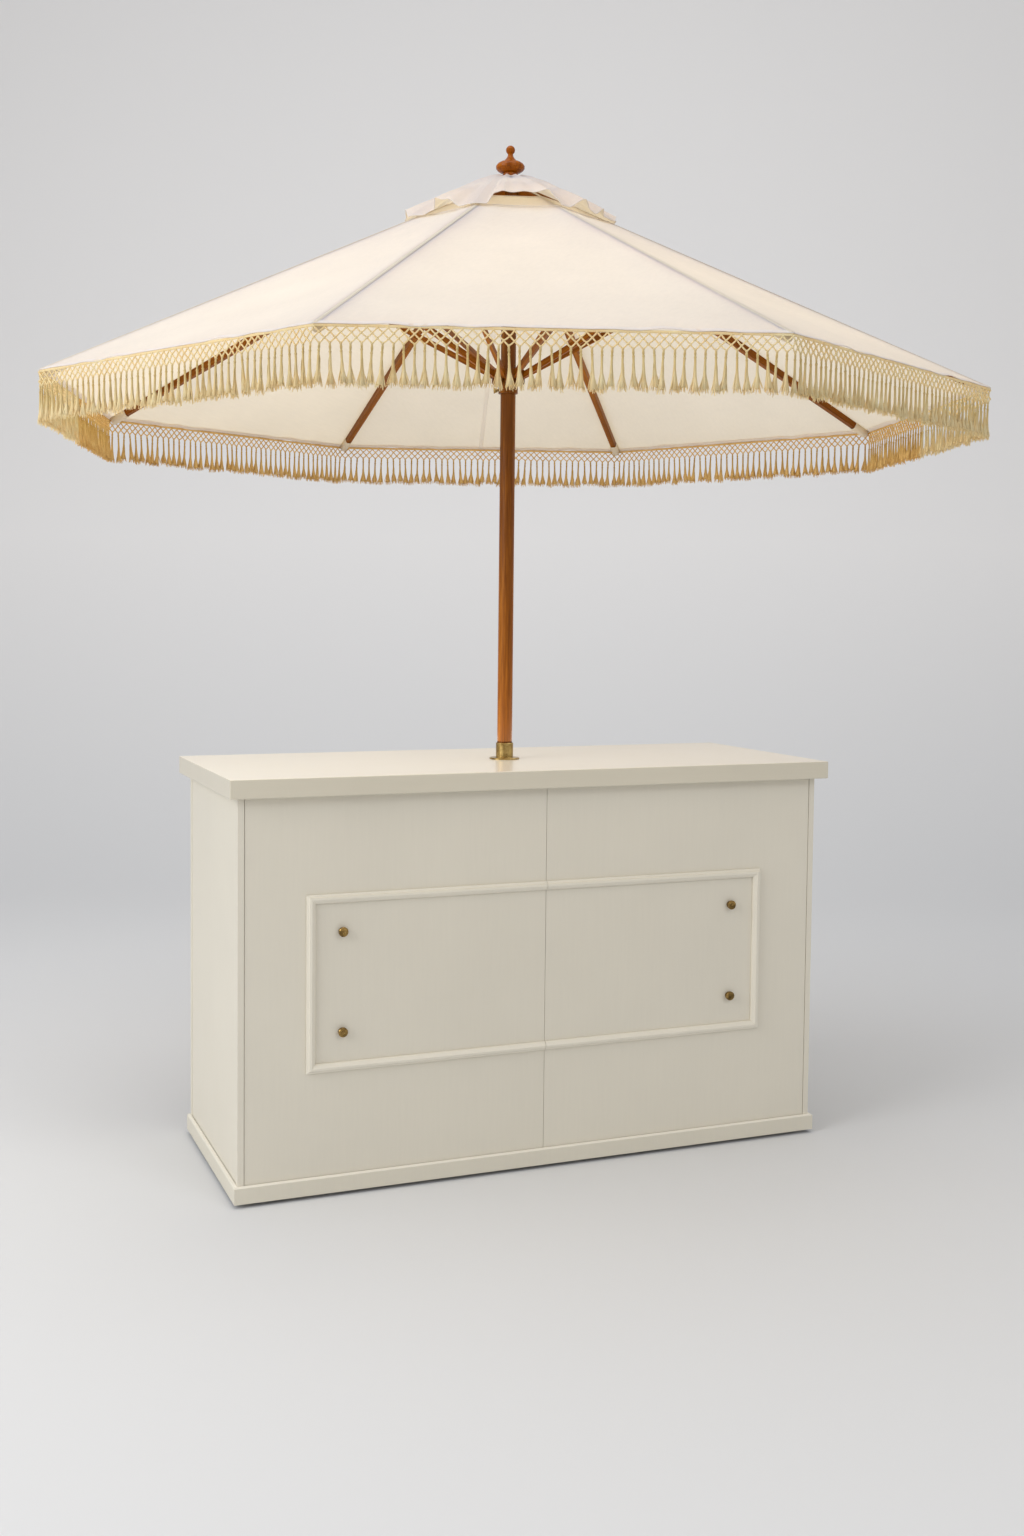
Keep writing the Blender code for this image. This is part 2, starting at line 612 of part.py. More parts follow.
def hub(timber):
    """The top notch: a turned block with a slot and a pin for each rib."""
    top, bottom = HUB_PIVOT_Z + HUB_ABOVE_PIVOT, HUB_PIVOT_Z - HUB_BELOW_PIVOT
    bore = POLE_RADIUS + GAP
    profile = [(bore, top), (HUB_RADIUS - 3 * HUB_EASE, top), (HUB_RADIUS, top - 2 * HUB_EASE),
               (HUB_RADIUS, bottom + HUB_EASE), (HUB_RADIUS - HUB_EASE, bottom), (bore, bottom)]
    obj = place("top_hub", turned_mesh("top_hub", profile), timber)
    slot_inner = HUB_PIVOT_RADIUS - TANG_RADIUS - 2 * SLOT_CLEARANCE
    slot_top = HUB_PIVOT_Z + TANG_RADIUS + 2 * SLOT_CLEARANCE
    slots = radial_boxes("hub_slots", slot_inner, HUB_RADIUS + HUB_EASE, TANG_THICKNESS + 2 * SLOT_CLEARANCE,
                         bottom - HUB_EASE, slot_top)
    combine(obj, slots, "DIFFERENCE")
    pin_length = TANG_THICKNESS + 2 * PIN_SEAT
    combine(obj, radial_pegs("hub_pins", HUB_PIN_RADIUS, HUB_PIVOT_RADIUS, pin_length, HUB_PIVOT_Z), "UNION")


def runner(timber):
    """The sliding notch, open from top to bottom at each strut, with a plain sleeve for its screw."""
    top, shoulder = RUNNER_Z + RUNNER_HALF_HEIGHT, RUNNER_Z - RUNNER_HALF_HEIGHT
    bottom = shoulder - SLEEVE_LENGTH
    ease = RUNNER_EASE
    profile = [(POLE_BORE, top), (RUNNER_RADIUS - ease, top), (RUNNER_RADIUS, top - ease),
               (RUNNER_RADIUS, shoulder + ease), (RUNNER_RADIUS - ease, shoulder), (SLEEVE_RADIUS, shoulder),
               (SLEEVE_RADIUS, bottom), (POLE_BORE, bottom)]
    obj = place("runner", turned_mesh("runner", profile), timber)
    slots = radial_boxes("runner_slots", SLEEVE_RADIUS + GAP, RUNNER_RADIUS + ease, SLOT_WIDTH,
                         shoulder - ease, top + ease)
    combine(obj, slots, "DIFFERENCE")
    hole_radius = KNOB_STEM_RADIUS + SLOT_CLEARANCE
    hole = turned_mesh("screw_hole", [(0, POLE_RADIUS / 2), (hole_radius, POLE_RADIUS / 2),
                                      (hole_radius, RUNNER_RADIUS), (0, RUNNER_RADIUS)], sides=12, axis="X")
    turn_about_z(hole, knob_angle(), bottom + SLEEVE_LENGTH / 2)
    combine(obj, hole, "DIFFERENCE")


def knob_angle():
    """Half way between two ribs, behind the pole."""
    return rib_angle(2) + HALF_PANEL


def turn_about_z(mesh, angle, z):
    for vertex in mesh.vertices:
        vertex.co = turned_point(*vertex.co, angle)
        vertex.co.z += z


def knob(brass):
    """The thumb screw that clamps the runner to the pole: a stem and a flat wing."""
    z = RUNNER_Z - RUNNER_HALF_HEIGHT - SLEEVE_LENGTH / 2
    angle = knob_angle()
    stem_end = POLE_RADIUS + GAP
    boss_end = KNOB_START + KNOB_BOSS_LENGTH
    boss_start = KNOB_START + KNOB_BOSS_LENGTH / 4
    profile = [(0, stem_end), (KNOB_STEM_RADIUS, stem_end), (KNOB_STEM_RADIUS, KNOB_START),
               (KNOB_BOSS_RADIUS, boss_start), (KNOB_BOSS_RADIUS, boss_end), (0, boss_end)]
    stem = turned_mesh("runner_knob", profile, sides=12, axis="X")
    obj = place("runner_knob", stem, brass, (0, 0, z), angle)
    wing_start = KNOB_START + KNOB_BOSS_LENGTH / 2
    wing_end = KNOB_START + KNOB_LENGTH
    wing = [(wing_start, -KNOB_WING_ROOT), (wing_end, -KNOB_WING_RADIUS), (wing_end, KNOB_WING_RADIUS),
            (wing_start, KNOB_WING_ROOT)]
    wing_mesh = prism_mesh("knob_wing", wing, -KNOB_WING_THICKNESS / 2, KNOB_WING_THICKNESS / 2)
    turn_about_z(wing_mesh, angle, z)
    combine(obj, wing_mesh, "UNION")


def along(s, h, y=0.0, slope=REST_SLOPE):
    """A point at distance s down a rib and h above its middle line, from the rib's own pivot."""
    return (s * math.cos(slope) + h * math.sin(slope), y, -s * math.sin(slope) + h * math.cos(slope))


def rib_section(s, half_width, depth, lift=0.0):
    """A rib's section: flat underside and a low ridge that meets the cloth."""
    top, bottom = RIB_DEPTH / 2 + lift, RIB_DEPTH / 2 - depth
    shoulder = top - half_width * ROOF_FALL
    return [along(s, bottom, -half_width), along(s, shoulder, -half_width), along(s, top),
            along(s, shoulder, half_width), along(s, bottom, half_width)]


def side_prism(name, outline, y_low, y_high):
    """An outline of (s, h) on a rib's side, given thickness across the rib."""
    points = [along(s, h) for s, h in outline]
    return prism_mesh(name, [(x, z) for x, _, z in points], y_low, y_high)


def rib_mesh():
    """One rib: a tapered beam, the flat tang in the hub's slot, and the hanger that carries the strut's pin."""
    half = RIB_WIDTH / 2
    stations = [(TANG_LENGTH - RIB_NECK_LENGTH, RIB_NECK_WIDTH / 2, RIB_NECK_DEPTH),
                (TANG_LENGTH, half, RIB_DEPTH), (RIB_LENGTH / 2, half, RIB_DEPTH),
                (RIB_LENGTH - RIB_TIP_TAPER, half, RIB_TIP_DEPTH), (RIB_LENGTH, RIB_TIP_WIDTH / 2, RIB_TIP_DEPTH)]
    blank = place("rib_blank", loft_mesh("rib_beam", [rib_section(*station) for station in stations]), None)
    flat = arc((0, 0), TANG_RADIUS, math.pi * 1.5, math.pi * 0.5, 6)
    flat += [(TANG_LENGTH + TANG_ROOT, TANG_RADIUS), (TANG_LENGTH + TANG_ROOT, -TANG_RADIUS)]
    combine(blank, side_prism("rib_tang", flat, -TANG_THICKNESS / 2, TANG_THICKNESS / 2), "UNION")
    combine(blank, peg_mesh("rib_eye", RIB_EYE_RADIUS, (0, 0), -RIB_WIDTH, RIB_WIDTH), "DIFFERENCE")
    pivot_s = math.sqrt(STRUT_REACH**2 - STRUT_DROP**2)
    ear = STRUT_DEPTH / 2
    root = ear + HANGER_ROOT
    under = -RIB_DEPTH / 2
    hanger = arc((pivot_s, -STRUT_DROP), ear, math.pi, 2 * math.pi, 6)
    hanger += [(pivot_s + root, under + HANGER_ROOT), (pivot_s - root, under + HANGER_ROOT)]
    combine(blank, side_prism("rib_hanger", hanger, -half + GAP, half - GAP), "UNION")
    slot_top, slot_low = under - SLOT_CLEARANCE, -STRUT_DROP - 2 * ear
    slot = [(pivot_s - 2 * root, slot_top), (pivot_s + 2 * root, slot_top), (pivot_s + 2 * root, slot_low),
            (pivot_s - 2 * root, slot_low)]
    combine(blank, side_prism("hanger_slot", slot, -SLOT_WIDTH / 2, SLOT_WIDTH / 2), "DIFFERENCE")
    x, _, z = along(pivot_s, -STRUT_DROP)
    pin_half = SLOT_WIDTH / 2 + PIN_SEAT
    combine(blank, peg_mesh("strut_pin", STRUT_PIN_RADIUS, (x, z), -pin_half, pin_half, sides=8), "UNION")
    return settled(blank)


def strut_mesh():
    """One strut: a flat bar with round ends and an eye in each, from the rib's pin to the runner's ring."""
    angle = math.pi + REST_LINK
    way = (math.cos(angle), math.sin(angle))
    end = (STRUT_REACH * way[0], STRUT_REACH * way[1])
    half = STRUT_DEPTH / 2
    outline = arc((0, 0), half, angle + math.pi / 2, angle + 1.5 * math.pi, 6)
    outline += arc(end, half, angle - math.pi / 2, angle + math.pi / 2, 6)
    bar = prism_mesh("strut_bar", outline, -STRUT_THICKNESS / 2, STRUT_THICKNESS / 2)
    blank = place("strut_blank", bar, None)
    for name, centre in (("outer_eye", (0, 0)), ("inner_eye", end)):
        eye = peg_mesh(name, STRUT_EYE_RADIUS, centre, -STRUT_THICKNESS, STRUT_THICKNESS)
        combine(blank, eye, "DIFFERENCE")
    return settled(blank)


def panel_point(radius, share, lift, sag):
    """A point of the cloth from the ridge over a rib (share 0) to the middle of a panel (share 1 or -1)."""
    across = abs(share) * radius * math.cos(HALF_PANEL) * math.sin(HALF_PANEL)
    inward = abs(share) * radius * math.sin(HALF_PANEL) ** 2
    fall = (radius - HUB_PIVOT_RADIUS) * RIDGE_SLOPE - lift / math.cos(REST_SLOPE)
    dip = sag * share**2
    return (radius - inward - HUB_PIVOT_RADIUS, math.copysign(across, share), -fall - dip)


def edge_gap(point):
    """Draws a point of a panel's middle line back from the neighbouring piece."""
    x, y, z = point
    radius = x + HUB_PIVOT_RADIUS
    angle = math.atan2(y, radius)
    limit = HALF_PANEL - GAP / 2 / math.hypot(radius, y)
    if abs(angle) <= limit:
        return point
    reach = radius / math.cos(HALF_PANEL)
    return (reach * math.cos(limit) - HUB_PIVOT_RADIUS, math.copysign(reach * math.sin(limit), y), z)


def sheet_mesh(name, rows):
    """A closed sheet of cloth from rows of points on its top face."""
    across = len(rows[0])
    top = [edge_gap(point) for row in rows for point in row]
    verts = top + [(x, y, z - CLOTH_THICKNESS / math.cos(REST_SLOPE)) for x, y, z in top]
    count = len(top)
    faces = []
    for j in range(len(rows) - 1):
        for i in range(across - 1):
            a = j * across + i
            faces.append((a, a + 1, a + across + 1, a + across))
            faces.append((a + count, a + across + count, a + across + 1 + count, a + 1 + count))
    rim = list(range(across)) + [j * across + across - 1 for j in range(1, len(rows))]
    rim += [(len(rows) - 1) * across + i for i in range(across - 2, -1, -1)]
    rim += [j * across for j in range(len(rows) - 2, 0, -1)]
    for a, b in zip(rim, rim[1:] + rim[:1]):
        faces.append((a, b, b + count, a + count))
    return mesh_from(name, verts, faces, smooth=True)


def main_panel_rows(lift):
    shares = (-1.0, -0.55, -0.2, 0.0, 0.2, 0.55, 1.0)
    steps = 4
    rows = []
    for j in range(steps + 1):
        radius = VENT_HOLE_RADIUS + (CANOPY_RADIUS - VENT_HOLE_RADIUS) * j / steps
        sag = PANEL_SAG * math.sin(math.pi * j / steps)
        rows.append([panel_point(radius, share, lift, sag) for share in shares])
    return rows


def cap_rows(lift):
    """A petal of the vent cap: raised over the vent and ruffled along its free hem between the ribs."""
    shares = (-1.0, -0.5, 0.0, 0.5, 1.0)
    rows = []
    for part in (0.0, 0.5, 1.0):
        radius = CAP_INNER_RADIUS + (CAP_RADIUS - CAP_INNER_RADIUS) * part
        rise = CAP_RISE + (CAP_HEM_RISE - CAP_RISE) * part
        if part == 0.0:
            rise = rise * CAP_PEAK_SHARE
        row = []
        for share in shares:
            ruffle = CAP_RUFFLE if abs(share) == 1.0 else CAP_RUFFLE_AT_RIB
            row.append(panel_point(radius, share, lift + rise, -ruffle * part))
        rows.append(row)
    return rows


def gore_mesh():
    """The cloth over one rib, from mid-panel to mid-panel, with its vent petal, tab and rib-end pocket."""
    lift = CLOTH_LIFT + CLOTH_THICKNESS
    blank = place("gore_blank", sheet_mesh("gore_sheet", main_panel_rows(lift)), None)
    tab_end = (CAP_RADIUS - HUB_PIVOT_RADIUS - TAB_SETBACK) / math.cos(REST_SLOPE)
    tab_low = CLOTH_LIFT + CLOTH_THICKNESS / 2
    tab_high = lift + CAP_HEM_RISE + TAB_RISE
    outline = [(tab_end - TAB_LENGTH, tab_low), (tab_end, tab_low), (tab_end, tab_high),
               (tab_end - TAB_LENGTH, tab_high + TAB_SLANT)]
    combine(blank, side_prism("vent_tab", outline, -TAB_THICKNESS / 2, TAB_THICKNESS / 2), "UNION")
    combine(blank, sheet_mesh("vent_petal", cap_rows(lift)), "UNION")
    end = RIB_LENGTH + GAP
    start = end - POCKET_LENGTH
    skin_lift = 2 * GAP + CLOTH_THICKNESS / 2
    skin_depth = RIB_TIP_DEPTH + POCKET_WALL
    outside = [rib_section(s, POCKET_WIDTH / 2, skin_depth, skin_lift) for s in (start, end + POCKET_WALL)]
    combine(blank, loft_mesh("rib_pocket", outside), "UNION")
    room, room_depth = RIB_WIDTH / 2 + GAP, RIB_TIP_DEPTH + 2 * GAP
    inside = [rib_section(s, room, room_depth, GAP / 2) for s in (start - POCKET_WALL, end)]
    combine(blank, loft_mesh("pocket_hollow", inside), "DIFFERENCE")
    return settled(blank)


def fringe_mesh():
    """The knotted fringe under one rib's cloth: tape, net with a gap over each pair of tassels, and tassels."""
    half_length = CANOPY_RADIUS * math.sin(HALF_PANEL) - GAP / 2
    pitch = half_length / TASSEL_PAIRS_PER_HALF
    verts, faces, index = [], [], {}

    def point(x, z, back):
        key = (round(x, 6), round(z, 6), back)
        if key not in index:
            offset = FRINGE_THICKNESS if back else 0.0
            inward = abs(x) * math.sin(HALF_PANEL) + offset * math.cos(HALF_PANEL)
            across = max(abs(x) * math.cos(HALF_PANEL) - offset * math.sin(HALF_PANEL), 0.0)
            if not x:
                inward = offset / math.cos(HALF_PANEL)
            index[key] = len(verts)
            verts.append((-inward, math.copysign(across, x), z))
        return index[key]

    def skin(*outline):
        faces.append(tuple(point(x, z, False) for x, z in outline))
        faces.append(tuple(point(x, z, True) for x, z in reversed(outline)))

    def walls(*line):
        for a, b in zip(line, line[1:]):
            faces.append((point(*a, False), point(*b, False), point(*b, True), point(*a, True)))

    knot = -FRINGE_NET
    foot = -FRINGE_TAPE - FRINGE_CORD
    waist = -(FRINGE_TAPE + FRINGE_NET) / 2
    for side in (-1, 1):
        for n in range(TASSEL_PAIRS_PER_HALF):
            x0, x1 = side * n * pitch, side * (n + 1) * pitch
            middle = (x0 + x1) / 2
            gap_half = side * pitch / 2 * NET_GAP_SHARE
            top, low = (middle, -FRINGE_TAPE), (middle, knot + FRINGE_CORD)
            near, far = (middle - gap_half, waist), (middle + gap_half, waist)
            skin((x0, 0.0), (x1, 0.0), top)
            skin((x0, 0.0), top, near, (x0, foot))
            skin((x1, 0.0), (x1, foot), far, top)
            walls((x0, 0.0), (x1, 0.0))
            walls(top, near, low, far, top)
            for end, waist_point, order in ((x0, near, 0), (x1, far, 1)):
                centre = (end + middle) / 2
                half_top = math.copysign(TASSEL_TOP_WIDTH / 2, end - middle)
                half_end = math.copysign(TASSEL_END_WIDTH / 2, end - middle)
                drop = FRINGE_DROP - TASSEL_UNEVENNESS * ((6 * n + 3 * order) % 5) / 4
                outer, inner = (centre + half_top, knot), (centre - half_top, knot)
                tip_outer, tip_inner = (centre + half_end, -drop), (centre - half_end, -drop)
                skin((end, foot), waist_point, outer)
                skin(waist_point, inner, outer)
                skin(waist_point, low, (middle, knot), inner)
                skin(outer, inner, tip_inner, tip_outer)
                walls((end, foot), outer, tip_outer, tip_inner, inner, (middle, knot))
        end = side * half_length
        walls((end, 0.0), (end, foot))
    return mesh_from("fringe", verts, faces)


def parasol(timber, cloth, cord):
    """A rib, its strut, its cloth and its length of fringe, repeated round the pole."""
    rib, strut, gore, fringe = rib_mesh(), strut_mesh(), gore_mesh(), fringe_mesh()
    strut_radius = HUB_PIVOT_RADIUS + STRUT_REACH * math.cos(REST_LINK)
    strut_z = HUB_PIVOT_Z - STRUT_REACH * math.sin(REST_LINK)
    for k in range(RIB_COUNT):
        angle = rib_angle(k)
        number = str(k + 1)
        pivot = turned_point(HUB_PIVOT_RADIUS, 0, HUB_PIVOT_Z, angle)
        place("rib_" + number, rib, timber, pivot, angle)
        place("strut_" + number, strut, timber, turned_point(strut_radius, 0, strut_z, angle), angle)
        place("canopy_gore_" + number, gore, cloth, pivot, angle)
        place("fringe_" + number, fringe, cord, turned_point(CANOPY_RADIUS, 0, HEM_Z - GAP, angle), angle)


def build():
    clear_scene()
    paint = material("warm white paint", (0.83, 0.79, 0.70), 0.45)
    top_paint = material("countertop lacquer", (0.86, 0.82, 0.74), 0.35)
    dark = material("stained foot rail", (0.05, 0.045, 0.04), 0.7)
    timber = material("oiled hardwood", (0.30, 0.12, 0.03), 0.4)
    brass = material("aged brass", (0.33, 0.24, 0.10), 0.35, 1.0)
    cloth = material("natural canvas", (0.88, 0.84, 0.76), 0.9)
    cord = material("cotton cord", (0.80, 0.70, 0.50), 0.95)
    carcass(paint)
    plinth(paint)
    feet(dark)
    moulding(paint)
    sign_fixings(brass)
    countertop(top_paint)
    collar(brass)
    socket(timber)
    pole(timber, brass)
    hub(timber)
    runner(timber)
    knob(brass)
    crown(cloth)
    finial(timber)
    parasol(timber, cloth, cord)


build()
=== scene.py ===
"""Looks of the portable bar with its fringed parasol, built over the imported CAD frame."""

import math

import bpy
import numpy as np
from mathutils import Matrix, Vector


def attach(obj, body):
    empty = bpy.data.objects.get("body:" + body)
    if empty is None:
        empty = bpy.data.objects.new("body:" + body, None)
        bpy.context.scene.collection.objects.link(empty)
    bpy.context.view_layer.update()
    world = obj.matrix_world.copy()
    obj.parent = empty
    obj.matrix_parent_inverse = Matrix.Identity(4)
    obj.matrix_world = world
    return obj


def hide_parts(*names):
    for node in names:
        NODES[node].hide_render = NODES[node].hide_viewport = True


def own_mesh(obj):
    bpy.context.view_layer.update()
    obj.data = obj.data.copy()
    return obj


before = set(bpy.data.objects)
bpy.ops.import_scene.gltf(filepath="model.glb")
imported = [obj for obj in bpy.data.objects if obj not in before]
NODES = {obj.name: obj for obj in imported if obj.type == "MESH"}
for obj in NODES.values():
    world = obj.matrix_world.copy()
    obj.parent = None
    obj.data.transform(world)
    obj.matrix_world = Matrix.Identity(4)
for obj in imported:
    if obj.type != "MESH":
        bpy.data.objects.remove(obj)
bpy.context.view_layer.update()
SLOPE = math.radians(25.8)
PHASE = math.radians(4.7)
RIBS = 8
HALF = math.pi / RIBS
HUB_R, HUB_Z = 0.036, 2.646
RIM_R = 1.280
RIB_TOP = 0.0123
RIM_Z = HUB_Z - (RIM_R - HUB_R) * math.tan(SLOPE) + RIB_TOP / math.cos(SLOPE)
VENT_R, BAND_R, CAP_R = 0.195, 0.282, 0.302


# Colours and node helpers

def srgb(r, g, b):
    out = []
    for c in (r, g, b):
        c /= 255.0
        out.append(c / 12.92 if c <= 0.04045 else ((c + 0.055) / 1.055) ** 2.4)
    return (*out, 1.0)


class Shader:
    """A small builder for node materials."""

    def __init__(self, name):
        self.mat = bpy.data.materials.new(name)
        self.mat.use_nodes = True
        self.tree = self.mat.node_tree
        self.tree.nodes.clear()
        self.out = self.tree.nodes.new("ShaderNodeOutputMaterial")

    def add(self, kind, props=None, **sockets):
        node = self.tree.nodes.new(kind)
        for key, value in (props or {}).items():
            setattr(node, key, value)
        for key, value in sockets.items():
            socket = node.inputs[key.replace("_", " ")]
            if isinstance(value, bpy.types.NodeSocket):
                self.tree.links.new(value, socket)
            else:
                socket.default_value = value
        return node

    def link(self, a, b):
        self.tree.links.new(a, b)

    def coords(self):
        return self.add("ShaderNodeTexCoord").outputs["Object"]

    def noise(self, vector, scale, detail=4.0, rough=0.5):
        node = self.add("ShaderNodeTexNoise", None, Vector=vector, Scale=scale, Detail=detail,
                        Roughness=rough)
        return node.outputs["Fac"]

    def stretch(self, vector, direction, keep):
        """Coordinates squeezed along a direction, so a noise runs in long streaks that way."""
        along = self.add("ShaderNodeVectorMath", {"operation": "DOT_PRODUCT"})
        self.link(vector, along.inputs[0])
        along.inputs[1].default_value = direction
        factor = self.math("MULTIPLY", along.outputs["Value"], -(1.0 - keep))
        back = self.add("ShaderNodeVectorMath", {"operation": "SCALE"})
        back.inputs[0].default_value = direction
        self.link(factor, back.inputs["Scale"])
        total = self.add("ShaderNodeVectorMath", {"operation": "ADD"})
        self.link(vector, total.inputs[0])
        self.link(back.outputs[0], total.inputs[1])
        return total.outputs[0]

    def math(self, operation, a, b=0.0, c=0.0, clamp=False):
        node = self.add("ShaderNodeMath", {"operation": operation, "use_clamp": clamp})
        for i, value in enumerate((a, b, c)):
            if isinstance(value, bpy.types.NodeSocket):
                self.link(value, node.inputs[i])
            else:
                node.inputs[i].default_value = value
        return node.outputs[0]

    def ramp(self, fac, stops):
        node = self.add("ShaderNodeValToRGB")
        ramp = node.color_ramp
        while len(ramp.elements) < len(stops):
            ramp.elements.new(0.5)
        for element, (place, colour) in zip(ramp.elements, stops):
            element.position = place
            element.color = colour
        self.link(fac, node.inputs["Fac"])
        return node.outputs["Color"]

    def bump(self, height, strength, distance):
        node = self.add("ShaderNodeBump", None, Height=height, Strength=strength, Distance=distance)
        return node.outputs["Normal"]

    def part(self, vector, axis):
        return self.add("ShaderNodeSeparateXYZ", None, Vector=vector).outputs[axis]

    def blend(self, factor, first, second, kind="MIX"):
        node = self.add("ShaderNodeMix", {"data_type": "RGBA", "blend_type": kind})
        for place, value in ((0, factor), (6, first), (7, second)):
            if isinstance(value, bpy.types.NodeSocket):
                self.link(value, node.inputs[place])
            else:
                node.inputs[place].default_value = value
        return node.outputs[2]

    def satin(self, colour, shine, normal, specular, coat, coat_rough):
        bsdf = self.add("ShaderNodeBsdfPrincipled", None, Base_Color=colour, Roughness=shine, Normal=normal)
        bsdf.inputs["Specular IOR Level"].default_value = specular
        bsdf.inputs["Coat Weight"].default_value = coat
        bsdf.inputs["Coat Roughness"].default_value = coat_rough
        return self.done(bsdf.outputs[0])

    def cloth(self, front, back, normal, through):
        """A matt surface that lets a share of the light through."""
        diffuse = self.add("ShaderNodeBsdfDiffuse", None, Color=front, Normal=normal)
        glow = self.add("ShaderNodeBsdfTranslucent", None, Color=back, Normal=normal)
        mix = self.add("ShaderNodeMixShader")
        mix.inputs[0].default_value = through
        self.link(diffuse.outputs[0], mix.inputs[1])
        self.link(glow.outputs[0], mix.inputs[2])
        return self.done(mix.outputs[0])

    def done(self, shader):
        self.link(shader, self.out.inputs["Surface"])
        return self.mat


def tint(colour, k):
    return (colour[0] * k, colour[1] * k, colour[2] * k, 1.0)


def paint(name, colour, rough=0.42, mottle=0.035, grain=(0, 0, 1), gloss=0.0, top=None, under=None):
    """Brushed satin paint. Top and under list the colours of painted light on upper faces and of painted
    shade on lower faces, from -x to +x.
    """
    s = Shader(name)
    at = s.coords()
    broad = s.noise(at, 2.3, 3.0)
    fine = s.noise(s.stretch(at, grain, 0.05), 160.0, 5.0, 0.6)
    both = s.math("ADD", s.math("MULTIPLY", broad, 0.7), s.math("MULTIPLY", fine, 0.3))
    colour_out = s.ramp(both, [(0.3, tint(colour, 1.0 - mottle)), (0.7, tint(colour, 1.0 + mottle * 0.6))])
    # Painted light and shade: upper faces blend towards the top colours as a painted highlight, lower faces
    # towards the under colours as painted shade.
    if top or under:
        rise = s.part(s.add("ShaderNodeNewGeometry").outputs["Normal"], "Z")
        along = s.math("MULTIPLY_ADD", s.part(at, "X"), 0.5, 0.5, True)
        for colours, sign in ((top, 1.6), (under, -1.6)):
            if colours:
                wide = s.ramp(along, [(0.05, colours[0]), (0.75, colours[-1])])
                light_shade_mask = s.math("MULTIPLY_ADD", rise, sign, -0.6, True)
                colour_out = s.blend(light_shade_mask, colour_out, wide)
    peel = s.noise(at, 420.0, 2.0)
    height = s.math("ADD", s.math("MULTIPLY", peel, 0.5), s.math("MULTIPLY", fine, 0.5))
    normal = s.bump(height, 0.08, 0.002)
    shine = s.math("ADD", s.math("MULTIPLY", s.noise(at, 7.0), 0.14), rough - 0.07)
    return s.satin(colour_out, shine, normal, 0.35, gloss, 0.16)


def timber(name, direction, rough, coat, lift, tones):
    """Oiled hardwood with its grain along a direction."""
    s = Shader(name)
    at = s.coords()
    streak = s.stretch(at, direction, 0.035)
    fine = s.noise(streak, 260.0, 6.0, 0.65)
    broad = s.noise(streak, 38.0, 3.0, 0.55)
    pores = s.noise(s.stretch(at, direction, 0.015), 620.0, 2.0, 0.5)
    mix = s.math("ADD", s.math("MULTIPLY", fine, 0.45), s.math("MULTIPLY", broad, 0.55))
    dark, mid, light = [srgb(*tone) for tone in tones]
    colour = s.ramp(mix, [(0.30, tint(dark, lift)), (0.50, tint(mid, lift)), (0.72, tint(light, lift))])
    spots = s.ramp(pores, [(0.30, (0.55, 0.50, 0.42, 1)), (0.46, (1, 1, 1, 1))])
    final = s.blend(0.75, colour, spots, "MULTIPLY")
    height = s.math("ADD", s.math("MULTIPLY", fine, 0.6), s.math("MULTIPLY", pores, 0.4))
    normal = s.bump(height, 0.16, 0.0015)
    shine = s.math("ADD", s.math("MULTIPLY", fine, 0.16), rough - 0.08)
    return s.satin(final, shine, normal, 0.14, coat, 0.14)


def brass(name, light, dark, rough):
    s = Shader(name)
    at = s.coords()
    spread = s.noise(at, 60.0, 5.0, 0.6)
    fine = s.noise(at, 900.0, 2.0)
    colour = s.ramp(spread, [(0.32, dark), (0.66, light)])
    shine = s.math("ADD", s.math("MULTIPLY", spread, 0.25), rough - 0.10)
    bsdf = s.add("ShaderNodeBsdfPrincipled", None, Base_Color=colour, Roughness=shine, Metallic=1.0,
                 Normal=s.bump(fine, 0.06, 0.0008))
    return s.done(bsdf.outputs[0])


def canvas(name, outer, inner, through):
    """Woven cloth. Outer is its own colour, and inner that of the light that comes through it."""
    s = Shader(name)
    at = s.coords()
    soft = s.noise(at, 5.0, 4.0)
    warp = s.noise(s.stretch(at, (0, 0, 1), 0.10), 900.0, 2.0)
    weft = s.noise(s.stretch(at, (1, 0, 0), 0.10), 900.0, 2.0)
    weave = s.math("ADD", warp, weft)
    slub = s.noise(s.stretch(at, (0.7, 0.7, 0), 0.08), 120.0, 3.0)
    tone = s.math("ADD", s.math("MULTIPLY", soft, 0.6), s.math("MULTIPLY", slub, 0.4))
    front = s.ramp(tone, [(0.30, tint(outer, 0.965)), (0.68, tint(outer, 1.02))])
    back = s.ramp(tone, [(0.30, tint(inner, 0.95)), (0.68, tint(inner, 1.03))])
    return s.cloth(front, back, s.bump(s.math("ADD", weave, slub), 0.20, 0.0008), through)


def yarn(name, light, dark, through, shade):
    """Cotton cord with painted shade. The list gives, from the top down, a height, how light the painted
    shade leaves the colour there and how brown.
    """
    s = Shader(name)
    at = s.coords()
    fibre = s.noise(s.stretch(at, (0, 0, 1), 0.06), 1500.0, 3.0, 0.6)
    broad = s.noise(at, 24.0, 3.0)
    tone = s.math("ADD", s.math("MULTIPLY", fibre, 0.6), s.math("MULTIPLY", broad, 0.4))
    colour = s.ramp(tone, [(0.28, dark), (0.66, light)])
    # Painted shade: the colour darkens and browns by height, as listed.
    top, span = shade[0][0], shade[0][0] - shade[-1][0]
    depth = s.math("MULTIPLY_ADD", s.part(at, "Z"), -1.0 / span, top / span, True)
    stops = []
    for z, value, brown in shade:
        stops.append(((top - z) / span, (value, value ** brown, value ** (2 * brown - 0.4), 1.0)))
    colour = s.blend(1.0, colour, s.ramp(depth, stops), "MULTIPLY")
    return s.cloth(colour, colour, s.bump(fibre, 0.3, 0.0008), through)


def dress(obj, mat):
    obj.data.materials.clear()
    obj.data.materials.append(mat)


# Geometry helpers

